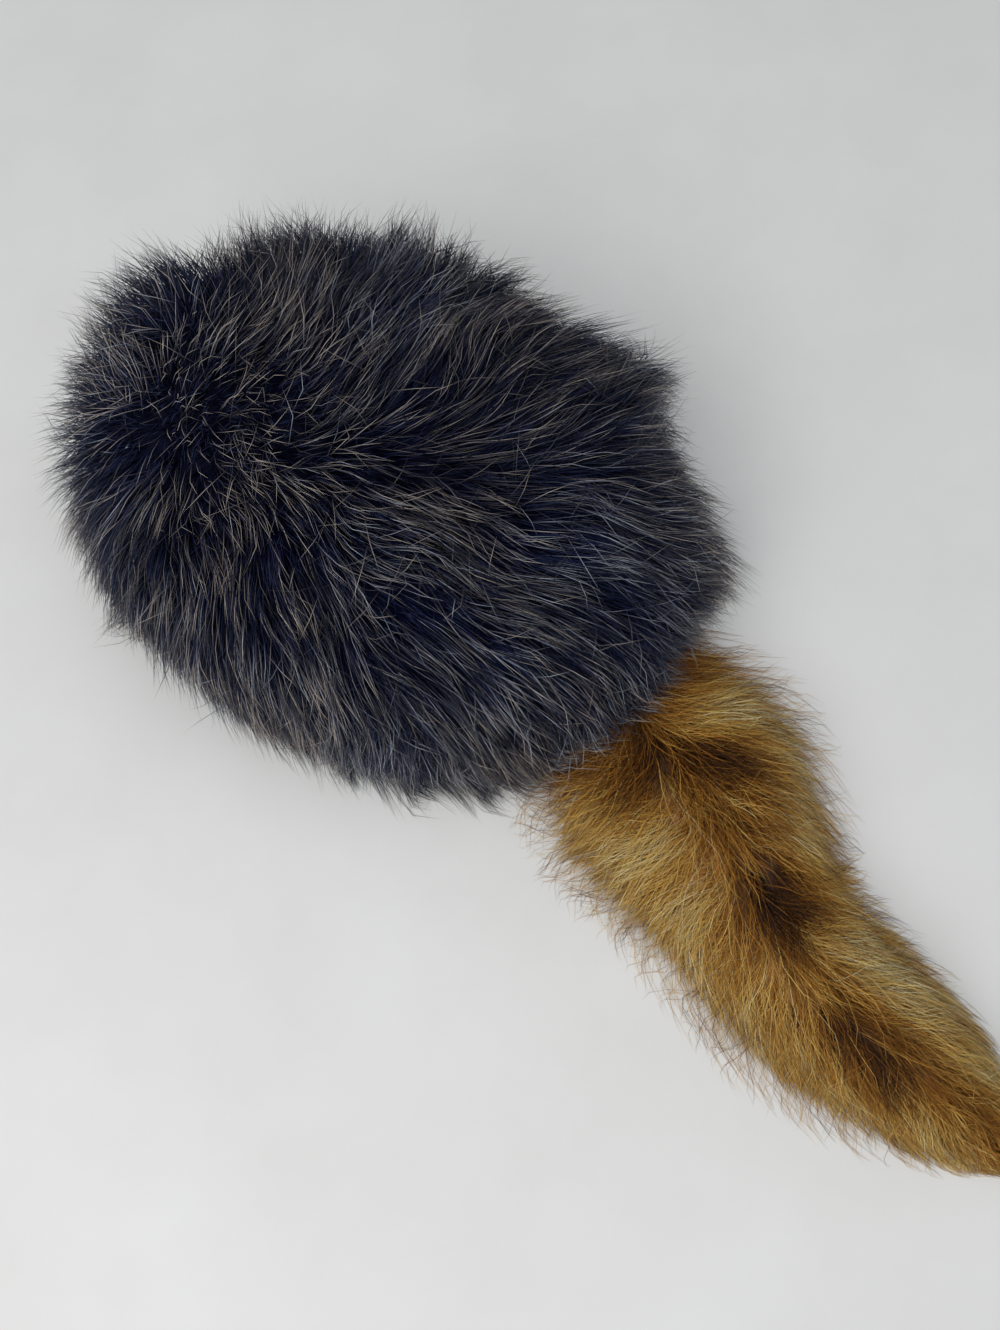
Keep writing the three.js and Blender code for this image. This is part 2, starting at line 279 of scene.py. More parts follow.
def column(rows, number, place, mirrored=True):
    """One column of a table between its rows, on a smooth curve. Past the last row it goes on
    mirrored, for a form that closes on its axis, or else straight."""
    values = rows[:, number]
    last = len(values) - 1
    after = 2 * values[-1] - values[-2]
    if mirrored:
        after = values[-2] if number == HEIGHT else -values[-2]
    padded = np.concatenate([[2 * values[0] - values[1]], values, [after]])
    at = np.clip(place, 0, 1) * last
    row = np.minimum(np.floor(at).astype(int), last - 1)
    a, b, c, d = (padded[row + step] for step in range(4))
    t = at - row
    bend = 2 * a - 5 * b + 4 * c - d + (3 * (b - c) + d - a) * t
    return b + 0.5 * t * (c - a + t * bend)


def form_point(rows, place, around):
    """Points of a form in mm. place is the share of the way up, around is 0 on the left side."""
    place, around = np.broadcast_arrays(np.asarray(place, float), around)
    long = np.where(np.sin(around) > 0, column(rows, BACK, place), column(rows, FRONT, place))
    flat = [column(rows, SIDE, place) * np.cos(around), long * np.sin(around)]
    return np.stack([*flat, column(rows, HEIGHT, place)], -1) + cap_middle


def form_facing(rows, place, around):
    """Which way a form faces there."""
    step = 1e-3
    place = np.clip(place, step, 1 - 2 * step)
    up = form_point(rows, place + step, around) - form_point(rows, place - step, around)
    along = form_point(rows, place, around + step) - form_point(rows, place, around - step)
    return unit(np.cross(along, up))


def cloth_ring(place, distance):
    """A ring of points at a distance outside the cloth's outer side."""
    facing = form_facing(CLOTH_FORM, place, ring_angles)
    return form_point(CLOTH_FORM, place, ring_angles) + distance * facing


def faces_between(near, far, count):
    """Corners of the faces between two rings, given the number of the first point of each ring."""
    here = np.arange(count)
    after = (here + 1) % count
    return near + here, near + after, far + after, far + here


def ring_mesh(name, rings, poles, material):
    """A closed piece from rings of points in mm. Its UV map "cloth" is in mm too, round and along.
    With two poles the ends are closed there. Without poles the last ring is joined to the first."""
    count = len(rings[0])
    here = np.arange(count)
    after = (here + 1) % count
    girth = np.linalg.norm(np.diff(rings[len(rings) // 2], axis=0), axis=1).sum()
    start, end = here / count * girth, (here + 1) / count * girth
    spans = [np.linalg.norm(b - a, axis=1).mean() for a, b in zip(rings, [*rings[1:], rings[0]])]
    along = np.concatenate([[0], np.cumsum(spans)])
    faces, charts = [], []

    def add(corners, spots):
        """One face for each point of a ring: its corners' numbers, and where they are on the map."""
        faces.extend(np.stack(np.broadcast_arrays(*corners), 1).tolist())
        uvs = [np.stack(np.broadcast_arrays(u, v), 1) for u, v in spots]
        charts.append(np.stack(uvs, 1).reshape(-1, 2))

    for k in range(len(rings) - 1 if poles else len(rings)):
        spots = [(start, along[k]), (end, along[k]), (end, along[k + 1]), (start, along[k + 1])]
        add(faces_between(k * count, (k + 1) % len(rings) * count, count), spots)
    points = np.concatenate(rings)
    if poles:
        middle, last = (start + end) / 2, len(points) - count
        spots = [(end, along[0]), (start, along[0]), (middle, along[0] - POLE_MARGIN)]
        add([after, here, len(points)], spots)
        level = along[len(rings) - 1]
        spots = [(start, level), (end, level), (middle, level + POLE_MARGIN)]
        add([last + here, last + after, len(points) + 1], spots)
        points = np.concatenate([points, poles])
    mesh = bpy.data.meshes.new(name)
    mesh.from_pydata((points * MM).tolist(), [], faces)
    mesh.uv_layers.new(name="cloth").uv.foreach_set("vector", np.concatenate(charts).ravel())
    shell = bmesh.new()
    shell.from_mesh(mesh)
    if shell.calc_volume(signed=True) < 0:
        mesh.flip_normals()
    shell.free()
    mesh.shade_smooth()
    mesh.materials.append(material)
    return placed(name, mesh)


def fitted(piece, slot, *nodes):
    """Lets a piece ride with the cap, and stand for CAD nodes if it does."""
    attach(piece, "root")
    if nodes:
        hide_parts(*nodes)


# The knitted back: rows of small loops, a little rubbed and uneven, dark as the pile it carries.
LOOP_WIDTH, LOOP_HEIGHT = 1.3, 0.95  # mm
knit = Finish("knitted_back")
round_mm, along_mm = knit.chart("cloth")
wobble = knit.noise(9, detail=2) * 0.8
ribs = (round_mm * (2 * math.pi / LOOP_WIDTH) + wobble).sine()
rows = (along_mm * (2 * math.pi / LOOP_HEIGHT) + ribs * 0.9 + wobble).sine()
loops = (ribs * 0.5 + 0.5) * 0.6 + (rows * 0.5 + 0.5) * 0.4
worn = knit.noise(22, detail=4, roughness=0.6)
knit_material = knit.wear(
    Base_Color=knit.mottled(
        loops, worn, 0.3, 0.75, ((16, 17, 24), (27, 27, 35)), ((44, 45, 54), (63, 62, 70))
    ),
    Roughness=0.92,
    Sheen_Weight=0.25,
    Normal=knit.bump(loops, 0.35),
)

crown_levels = np.linspace(NEAR_TOP, SEAM_PLACE, 26)
lip_top = SEAM_PLACE + ALLOWANCE_RISE
crown_profile = [
    *((place, 0) for place in crown_levels),
    (SEAM_PLACE, -SEAM_FOLD),
    (SEAM_PLACE, -ALLOWANCE),
    (lip_top, -ALLOWANCE),
    (lip_top, -CLOTH - 1),
    *((place, -CLOTH) for place in np.linspace(lip_top + LIP_ROUNDING, NEAR_TOP, 24)),
]
crown_rings = [cloth_ring(place, distance) for place, distance in crown_profile]
crown_top = cap_middle + (0, 0, CLOTH_FORM[-1, HEIGHT])
crown_cloth = ring_mesh("crown_cloth", crown_rings, (crown_top, crown_top - (0, 0, CLOTH)), knit_material)
fitted(crown_cloth, "cap_cloth", "crown")

# The side band
# One long strip of the same cloth, joined into an oval tube. Its upper edge is sewn to the crown with
# the allowance inwards, and its lower edge is turned in once, which makes a double hem.
HEM_HEIGHT = 18.0
HEM_EXTRA = 2.0
HEM_WIDTH = 4  # of the hem's foot, from the cloth's outer side inwards
HEM_LIFT = 2.5  # of pile squashed between the hem and the table

band_top = SEAM_PLACE - SEAM_GAP
hem_place = HEM_HEIGHT / CLOTH_FORM[1, HEIGHT] / (len(CLOTH_FORM) - 1)
lip_bottom = band_top - ALLOWANCE_RISE
hem_bulge = [(0.97, 1.3), (0.9, 1.95), (0.6, 2.0), (0.3, 2.0), (0.06, 1.9), (0, 1.2)]
band_profile = [
    *((place, 0) for place in np.linspace(0, band_top, 30)),
    (band_top, -SEAM_FOLD),
    (band_top, -ALLOWANCE),
    (lip_bottom, -ALLOWANCE),
    (lip_bottom, -CLOTH - 1),
    *((place, -CLOTH) for place in np.linspace(lip_bottom - LIP_ROUNDING, hem_place, 24)),
    *((hem_place * share, -CLOTH - HEM_EXTRA * bulge / 2) for share, bulge in hem_bulge),
]
band_rings = [cloth_ring(place, distance) for place, distance in band_profile]
band_cloth = ring_mesh("band_cloth", band_rings, None, knit_material)
fitted(band_cloth, "cap_cloth", "side_band")

# The stitches
# Dark thread holds the hem's edge to the band, and a close row runs through the seam allowance of
# crown and band.
thread = Finish("thread")
twist = thread.noise(0.5, detail=1)
thread_material = thread.wear(
    Base_Color=thread.ramp(twist, (0.3, (30, 29, 36)), (0.7, (78, 74, 78))),
    Roughness=0.6,
    Normal=thread.bump(twist, 0.1),
)

stitches = bpy.data.node_groups.new("stitches", "GeometryNodeTree")
stitches.interface.new_socket("Geometry", in_out="OUTPUT", socket_type="NodeSocketGeometry")
for name, kind in (("Seam", "Geometry"), ("Spacing", "Float"), ("Length", "Float"), ("Thread", "Float")):
    stitches.interface.new_socket(name, in_out="INPUT", socket_type="NodeSocket" + kind)
LEAN = 0.16  # of a stitch to either side, in radians
sewing = Nodes(stitches)
seam = sewing.node("NodeGroupInput").outputs
path = sewing.node("GeometryNodeMeshToCurve", None, {"Mesh": seam["Seam"]}).outputs
at_seam = {"Curve": path["Curve"], "Length": seam["Spacing"]}
spots = sewing.node("GeometryNodeCurveToPoints", {"mode": "LENGTH"}, at_seam).outputs
bead = {"Segments": 6, "Rings": 5, "Radius": 0.5}
stitch = sewing.node("GeometryNodeMeshUVSphere", None, bead).outputs
range_of_lean = {"Min": (-LEAN, -LEAN, 0), "Max": (LEAN, LEAN, 0), "Seed": 4}
lean = sewing.node("FunctionNodeRandomValue", {"data_type": "FLOAT_VECTOR"}, range_of_lean).outputs
leaning = sewing.node("FunctionNodeEulerToRotation", None, {"Euler": lean["Value"]}).outputs
both = {"Rotation": spots["Rotation"], "Rotate By": leaning["Rotation"]}
turned = sewing.node("FunctionNodeRotateRotation", {"rotation_space": "LOCAL"}, both).outputs
sides = {"X": seam["Thread"], "Y": seam["Thread"], "Z": seam["Length"]}
shape = sewing.node("ShaderNodeCombineXYZ", None, sides).outputs
sewn = sewing.node("GeometryNodeInstanceOnPoints", None, {
    "Points": spots["Points"],
    "Instance": stitch["Mesh"],
    "Rotation": turned["Rotation"],
    "Scale": shape["Vector"],
}).outputs
real = sewing.node("GeometryNodeRealizeInstances", None, {"Geometry": sewn["Instances"]}).outputs
dye = {"Geometry": real["Geometry"], "Material": thread_material}
dyed = sewing.node("GeometryNodeSetMaterial", None, dye).outputs
sewing.node("NodeGroupOutput", None, {"Geometry": dyed["Geometry"]})


def sew(name, ring, sizes):
    """Stitches along a closed ring of points in mm. sizes are for the nodes' inputs, in mm too."""
    mesh = bpy.data.meshes.new(name)
    edges = [(k, (k + 1) % len(ring)) for k in range(len(ring))]
    mesh.from_pydata((ring * MM).tolist(), edges, [])
    piece = placed(name, mesh)
    modifier = piece.modifiers.new("stitches", "NODES")
    modifier.node_group = stitches
    for socket in stitches.interface.items_tree:
        if socket.name in sizes:
            modifier[socket.identifier] = sizes[socket.name] * MM
    evaluated = piece.evaluated_get(bpy.context.evaluated_depsgraph_get())
    plain = bpy.data.meshes.new_from_object(evaluated)
    piece.modifiers.clear()
    piece.data = plain
    plain.shade_smooth()
    fitted(piece, "cap_cloth")


hem_stitches = cloth_ring(hem_place * 0.95, -CLOTH - HEM_EXTRA - 0.05)
sew("hem_stitches", hem_stitches, {"Spacing": 6.5, "Length": 3.6, "Thread": 0.75})
lip_stitches = cloth_ring(lip_bottom, -ALLOWANCE * 0.62)
lip_stitches[:, 2] -= 0.15
sew("seam_stitches", lip_stitches, {"Spacing": 3.0, "Length": 2.5, "Thread": 0.6})

# The cap's underfur
# Short dense wool stands between the cloth and the long hairs. It is nearly black with a blue cast,
# and closes the gaps that the long hairs leave. Under the hem it is squashed flat on the table.
FUR_FORM = np.array([
    # the same levels as the cloth's, on the outside of the fur
    (0, 116, 91, 119),
    (22, 124, 97, 129),
    (48, 123, 96, 128),
    (75, 114, 88, 118),
    (95, 92, 71, 97),
    (107, 62, 48, 66),
    (112.5, 31, 24, 33),
    (114, 0, 0, 0),
])
LOCKS = (
    # degrees round, place, reach, breadth in degrees, spread up the table: locks and dips of the fur
    (105, 0.12, 10, 7, 0.16),
    (145, 0.32, 10, 7, 0.17),
    (126, 0.3, -6, 6, 0.2),
    (162, 0.45, -4, 8, 0.18),
    (45, 0.05, 8, 10, 0.13),
    (22, 0.04, 5, 8, 0.12),
    (-28, 0.05, -9, 15, 0.14),
    (-52, 0.06, 5, 7, 0.14),
    (190, 0.5, 4, 9, 0.18),
    (215, 0.45, 5, 11, 0.18),
    (238, 0.42, -5, 8, 0.16),
    (262, 0.3, 4, 14, 0.22),
    (250, 0.5, 8, 15, 0.15),
    (-40, 0.03, 19, 5, 0.08),
    (11, 0.01, 4, 4, 0.07),
    (24, 0.01, 6, 3, 0.06),
    (36, 0.01, 9, 5, 0.06),
)
TAIL_X, TAIL_Y, TAIL_WIDTH, TAIL_HEIGHT = range(4)
TAIL_FORM = np.array([
    # x and y of the middle line from the cap's middle, half the width, height
    (-4, 74, 31, 22),
    (32, 118, 44, 38),
    (51, 147, 48, 43),
    (70, 173, 41, 41),
    (87, 194, 34, 38),
    (98, 219, 31, 35),
    (105, 244, 28, 32),
    (111, 267, 23, 27),
    (117, 289, 15, 19),
    (121, 304, 6, 9),
])
TAIL_WIDEST = 0.36  # height of the widest level, as a share of the height
WOOL_GAP = 0.3  # between the cloth and its wool
TABLE_GAP = 0.1  # between the wool and the table
HAIR_LIFT = 0.4  # of the middle of the lowest hairs off the table
UNDER_SHARE = 0.5  # how deep the underfur is, as a share of the whole fur

tail_places = np.linspace(0, 1, 300)
tail_rows = [column(TAIL_FORM, number, tail_places, mirrored=False) for number in range(4)]
tail_line = np.stack([tail_rows[TAIL_X] + cap_middle[0], tail_rows[TAIL_Y] + cap_middle[1]], 1)
tail_heading = unit(np.gradient(tail_line, axis=0))
tail_near = np.stack([tail_heading[:, 1], -tail_heading[:, 0]], 1)  # towards the cap's left side
tail_run = np.concatenate([[0], np.cumsum(np.linalg.norm(np.diff(tail_line, axis=0), axis=1))])


def fur_point(place, around):
    """The outside of the cap's fur, with its locks and dips."""
    place, around = np.broadcast_arrays(np.asarray(place, float), around)
    reach = np.zeros(place.shape)
    for degrees, level, out, breadth, tall in LOCKS:
        turn = (np.degrees(around) - degrees + 180) % 360 - 180
        reach += out * np.exp(-((turn / breadth) ** 2) - ((place - level) / tall) ** 2)
    facing = form_facing(FUR_FORM, place, around)
    facing[..., 2] *= place > 0
    return form_point(FUR_FORM, place, around) + unit(facing) * reach[..., None]


def tail_share(points):
    """How far out points are in the tail's fur: 0 on its middle and 1 on its outside."""
    away = ((points[:, None, :2] - tail_line[None]) ** 2).sum(2)
    nearest = away.argmin(1)
    across = ((points[:, :2] - tail_line[nearest]) * tail_near[nearest]).sum(1)
    wide = across / tail_rows[TAIL_WIDTH][nearest]
    height = tail_rows[TAIL_HEIGHT][nearest]
    widest = height * TAIL_WIDEST
    above = (points[:, 2] - widest) / (height - widest)
    below = (widest - points[:, 2]) / widest
    upper = np.sqrt(wide**2 + above**2)
    lower = np.sqrt((wide**2 + np.sqrt(wide**4 + 4 * below**4)) / 2)
    along = ((points[:, :2] - tail_line[nearest]) * tail_heading[nearest]).sum(1)
    past_end = (np.abs(along) > 2) & ((nearest == 0) | (nearest == len(tail_line) - 1))
    return np.where(past_end, 9.0, np.where(points[:, 2] > widest, upper, lower))


def ripple(points, size, seed):
    """A smooth random field of about -1 to 1, whose waves are some mm long."""
    rng = np.random.default_rng(seed)
    total = np.zeros(points.shape[:-1])
    for _ in range(6):
        wave = unit(rng.normal(size=3)) * 2 * np.pi / (size * rng.uniform(0.8, 1.7))
        total += np.sin(points @ wave + rng.uniform(0, 2 * np.pi))
    return total / 2.4


def wool_ring(place):
    """A ring of the underfur's outside, lumpy, and drawn in where the tail comes out."""
    inside = cloth_ring(place, WOOL_GAP)
    outside = fur_point(place, ring_angles)
    share = UNDER_SHARE + 0.06 * ripple(outside, 14, 3) + 0.04 * ripple(outside, 5, 4)
    for _ in range(30):
        ring = inside + (outside - inside) * share[:, None]
        share = np.where(tail_share(ring) < 1.04, np.maximum(share - 0.02, 0.06), share)
    return ring


wool = Finish("cap_wool")
matted = wool.noise(2.2, detail=4, roughness=0.65)
patches = wool.noise(30, detail=2)
wool_material = wool.wear(
    Base_Color=wool.mottled(
        patches, matted, 0.35, 0.7, ((2, 3, 16), (9, 12, 38)), ((3, 4, 14), (13, 13, 32))
    ),
    Roughness=0.8,
    Specular_IOR_Level=0.15,
    Specular_Tint=(0.5, 0.6, 1.0, 1),
    Normal=wool.bump(matted, 0.8),
)

crown_wool = [wool_ring(place) for place in crown_levels]
crown_wool += [cloth_ring(place, WOOL_GAP) for place in crown_levels[::-1]]
crown_poles = (cap_middle + (0, 0, 106), crown_top + (0, 0, WOOL_GAP))
crown_underfur = ring_mesh("crown_underfur", crown_wool, crown_poles, wool_material)
fitted(crown_underfur, "cap_fur", "crown_fur")

band_levels = np.linspace(0, band_top, 34)
band_wool = [wool_ring(place) for place in band_levels]
band_wool += [cloth_ring(place, WOOL_GAP) for place in band_levels[::-1]]
under_hem = HEM_LIFT - WOOL_GAP
for height, distance in ((under_hem, WOOL_GAP), (under_hem, -HEM_WIDTH), (TABLE_GAP, -HEM_WIDTH)):
    level = cloth_ring(0, distance)
    level[:, 2] = height
    band_wool.append(level)
band_wool[0][:, 2] = TABLE_GAP
band_underfur = ring_mesh("band_underfur", band_wool, None, wool_material)
fitted(band_underfur, "cap_fur", "band_fur")

# The cap's pile
# Long hairs, all sewn in with the cloth. Nearly half are guard hairs with a pale tip. They lie
# outwards from a whorl near the front of the crown, down the sides and backwards, and hang together
# in loose tufts. Each hair is a thin closed spike of three sides.
WHORL = cap_middle + (22, -76, 0)
MATTED = cap_middle + (-4, -48, 0)  # round here the hairs are tangled
LAY = np.array([
    # where, in mm from the cap's middle, and which way the pile is brushed there, in tenths
    (8, -111, 79, -2, -7, -7), (-7, -110, 82, -3, -7, -7), (-21, -102, 86, -4, -6, -7),
    (-29, -87, 92, -4, -6, -6), (-44, -82, 84, -5, -5, -7), (-62, -71, 87, -6, -5, -7),
    (-69, -51, 91, -7, -4, -7), (-68, -26, 97, -8, -2, -6), (-70, -5, 97, -8, -2, -5),
    (-80, 11, 84, -7, 1, -8), (-75, 30, 82, -7, 4, -6), (-72, 54, 84, -7, 3.5, -6),
    (-62, 75, 84, -6, 4, -7), (-16, 20, 112, -10, -1, -1), (-9, -2, 113, -10, 0, 0),
    (-36, 43, 106, -9, 4, -3), (-38, 65, 101, -9, 3, -4), (-30, 91, 92, -6, 5, -6),
    (3, 50, 110, -4, 9, -1), (33, 33, 109, 1, 10, -1), (6, -11, 113, -5, 8, 0),
    (15, 15, 113, -3, 10, 0), (38, -6, 109, 2, 10, 0), (51, -48, 99, 7, 7, -2),
    (64, -65, 84, 8, 3, -6), (32, -95, 85, 2, -7, -7), (43, 8, 108, 3, 9, -1),
    (64, -36, 95, 7, 6, -4), (84, -17, 79, 5, 4, -7), (81, 9, 84, 5, 6, -6),
    (49, 48, 101, 1, 10, -2), (48, 73, 93, 0, 9, -4), (67, 68, 81, 3, 6, -7),
    (93, 35, 39, 1, 0, -10), (56, 89, 76, 3, 5, -8), (27, 69, 103, -4, 9, -2),
    (-12, 86, 99, -3, 9, -4), (-17, 110, 81, -5, 5, -7), (12, 93, 96, -2, 9, -5),
    (16, 113, 78, -2, 6, -8), (52, 100, 66, 1, 4, -9), (0, -61, 107, -2, 10, 2),
    (-6, -43, 110, -3, 9, 1), (-5, -22, 113, -4, 9, 0), (-21, -51, 108, -9, 4, -1),
    (-22, -33, 110, -10, 3, -1), (-22, -20, 112, -10, -2, -1), (32, -31, 109, 1, 10, 1),
    (23, -12, 112, 1, 10, 0), (20, -37, 110, -2, 10, 2), (12, -66, 105, -2, 10, 3),
    (24, -58, 105, 2, 10, 1), (34, -50, 104, 4, 9, -1), (45, -56, 100, 9, 3, -3),
    (37, -69, 99, 8, -4, -4), (25, -85, 95, 4, -8, -5), (-28, 19, 111, -10, -1, -2),
    (-47, 15, 106, -6, 7, -3), (-38, -10, 110, -5, 8, -1), (-54, -13, 105, -9, 3, -3),
    (-50, 58, 98, -8, 4, -4), (59, -13, 101, 6, 8, -2),
])
LAY_REACH = 17  # mm round each of these spots
HAIR_AREA = 2.35  # mm2 of fur to each hair
TUFT_AREA = 38  # mm2 of fur to each tuft
GUARD_SHARE = 0.45
GUARD_STEPS, DARK_STEPS = 4, 3  # points along a hair
GUARD_LENGTH, DARK_LENGTH = (17, 28), (14, 21)  # mm, the shortest and the longest
STRAYS, FLYAWAYS = 0.15, 0.14  # shares of the hairs and of the guard hairs
LONG_TUFTS, SPIKY_TUFTS = 0.4, 0.16  # shares of the tufts, low down and on the cap's right
ROOTS_AT = 0.35  # the depth of the roots, from 0 at the cloth to 1 at the outside of the fur
CORE = cap_middle + (0, 0, 30)  # each spot of the fur is found by its direction from here
LOWEST = math.radians(-50)
RISES, TURNS = 100, 240  # directions tried, from LOWEST to straight up and all round
FUR_FOOT, CLOTH_FOOT = (26, -36), (0, -80)  # mm out and up to where the forms go on under the table
TONES = 32  # of each kind and hue of hair, from dim to bright
CAP_COLUMNS = 4 * TONES  # strips of the hairs' UV map: dark hairs, blue and brown, then guard hairs

rises = np.linspace(LOWEST, np.pi / 2, RISES)[:, None]
turns = np.linspace(0, 2 * np.pi, TURNS, endpoint=False)[None]


def way_to(rise, turn):
    """The direction at an angle up from the level and an angle round."""
    level = np.cos(rise)
    return np.stack(np.broadcast_arrays(level * np.cos(turn), level * np.sin(turn), np.sin(rise)), -1)


directions = way_to(rises, turns)


def reach_of(rings):
    """How far from the core a form made of rings is, in each direction."""
    count = len(rings[0])
    faces = []
    for k in range(len(rings) - 1):
        faces += np.stack(faces_between(k * count, (k + 1) * count, count), 1).tolist()
    tree = bvhtree.BVHTree.FromPolygons(np.concatenate(rings).tolist(), faces)
    nudge = Vector((2e-5, 3e-5, 1e-5))  # off the form's own edges, where a ray can slip through
    found = [tree.ray_cast(Vector(CORE), Vector(way) + nudge)[3] for way in directions.reshape(-1, 3)]
    top = rings[-1][0, 2] - CORE[2]
    return np.array([top if reach is None else reach for reach in found]).reshape(RISES, TURNS)


def below(ring, out, height):
    """A ring that carries a form on past the table."""
    moved = ring + out * unit((ring - cap_middle) * (1, 1, 0))
    moved[:, 2] = height
    return moved


dense = np.append(np.linspace(0, 0.99, 60), 1)
fur_rings = [fur_point(place, ring_angles) for place in dense]
cloth_rings = [form_point(CLOTH_FORM, place, ring_angles) for place in dense]
fur_reach = reach_of([below(fur_rings[0], *FUR_FOOT), *fur_rings])
cloth_reach = reach_of([below(cloth_rings[0], *CLOTH_FOOT), *cloth_rings])
fur_spots = CORE + directions * fur_reach[..., None]
ahead = np.roll(fur_spots, -1, 1) - np.roll(fur_spots, 1, 1)
fur_facing = np.cross(ahead, np.gradient(fur_spots, axis=0))
fur_area = np.linalg.norm(fur_facing, axis=2) / 2
fur_facing[-1] = (0, 0, 1)
fur_facing = unit(fur_facing)


def look_up(grid, way):
    """A grid of the directions, read between its points."""
    turn = np.arctan2(way[:, 1], way[:, 0]) / (2 * np.pi) * TURNS % TURNS
    rise = (np.arcsin(np.clip(way[:, 2], -1, 1)) - LOWEST) / (np.pi / 2 - LOWEST) * (RISES - 1)
    rise = np.clip(rise, 0, RISES - 1.001)
    left, low_row = turn.astype(int) % TURNS, rise.astype(int)
    right = (left + 1) % TURNS
    shape = (-1,) + (1,) * (grid.ndim - 2)
    part, up = (turn % 1).reshape(shape), (rise % 1).reshape(shape)
    lower = grid[low_row, left] * (1 - part) + grid[low_row, right] * part
    upper = grid[low_row + 1, left] * (1 - part) + grid[low_row + 1, right] * part
    return lower * (1 - up) + upper * up


def at_depth(points, share):
    """The same spots at a share of the way from the cloth to the outside of the fur, in mm."""
    way = unit(points - CORE)
    inner = look_up(cloth_reach, way)
    outer = look_up(fur_reach, way)
    moved = CORE + way * (inner + share * (outer - inner))[:, None]
    moved[:, 2] = np.maximum(moved[:, 2], HAIR_LIFT)
    return moved


def depth_of(points):
    """How deep the fur is there, in mm."""
    way = unit(points - CORE)
    return look_up(fur_reach, way) - look_up(cloth_reach, way)


def step_up(start, end, value):
    """0 up to start and 1 from end, with a soft step in between."""
    t = np.clip((value - start) / (end - start), 0, 1)
    return t * t * (3 - 2 * t)


def brushed(points):
    """Which way the pile is brushed at each spot. That is short where hairs of all ways meet."""
    facing = unit(look_up(fur_facing, unit(points - CORE)))
    steep = step_up(0.25, 0.9, 1 - facing[:, 2])[:, None]
    outwards = unit((points - WHORL) * (1, 1, 0)) * (1 - 0.45 * steep) + np.array((0, 0.75, -1)) * steep
    near = np.exp(-((points[:, None] - cap_middle - LAY[:, :3]) ** 2).sum(2) / (2 * LAY_REACH**2))
    way = (near @ (LAY[:, 3:] / 10) + 0.08 * unit(outwards)) / (near.sum(1, keepdims=True) + 0.08)
    return way - facing * (way * facing).sum(1, keepdims=True), facing


def lie(points, turn):
    """Which way the pile lies at each spot, with each hair turned by its own angle."""
    way, facing = brushed(points)
    heading = unit(way)
    turn = (turn + math.radians(13) * ripple(points, 30, 11))[:, None]
    return heading * np.cos(turn) + np.cross(facing, heading) * np.sin(turn)


def grow(roots, length, start, end, turn, steps, curl=0.0):
    """Hairs that lie along the fur. start and end are the depths of root and tip, as shares."""
    point = at_depth(roots, 1.0)
    path = [at_depth(roots, start)]
    for step in range(1, steps):
        part = step / (steps - 1)
        point = point + lie(point, turn + curl * (part - 0.5)) * (length / (steps - 1))[:, None]
        point = at_depth(point, 1.0)
        path.append(at_depth(point, start + (end - start) * part**0.7))
    return np.stack(path, 1)


def scatter(count, rng):
    """Spots on the outside of the fur above the table, spread evenly."""
    weight = fur_area * (fur_spots[..., 2] > 1)
    cells = rng.choice(weight.size, count, p=(weight / weight.sum()).ravel())
    rise = rises[cells // TURNS, 0] + rng.uniform(-0.5, 0.5, count) * (rises[1, 0] - rises[0, 0])
    turn = turns[0, cells % TURNS] + rng.uniform(-0.5, 0.5, count) * 2 * np.pi / TURNS
    way = way_to(rise, turn)
    return CORE + way * look_up(fur_reach, way)[:, None]


def nearest_of(points, targets):
    """The number of the nearest target to each point."""
    tree = kdtree.KDTree(len(targets))
    for number, target in enumerate(targets):
        tree.insert(target, number)
    tree.balance()
    return np.array([tree.find(point)[1] for point in points])


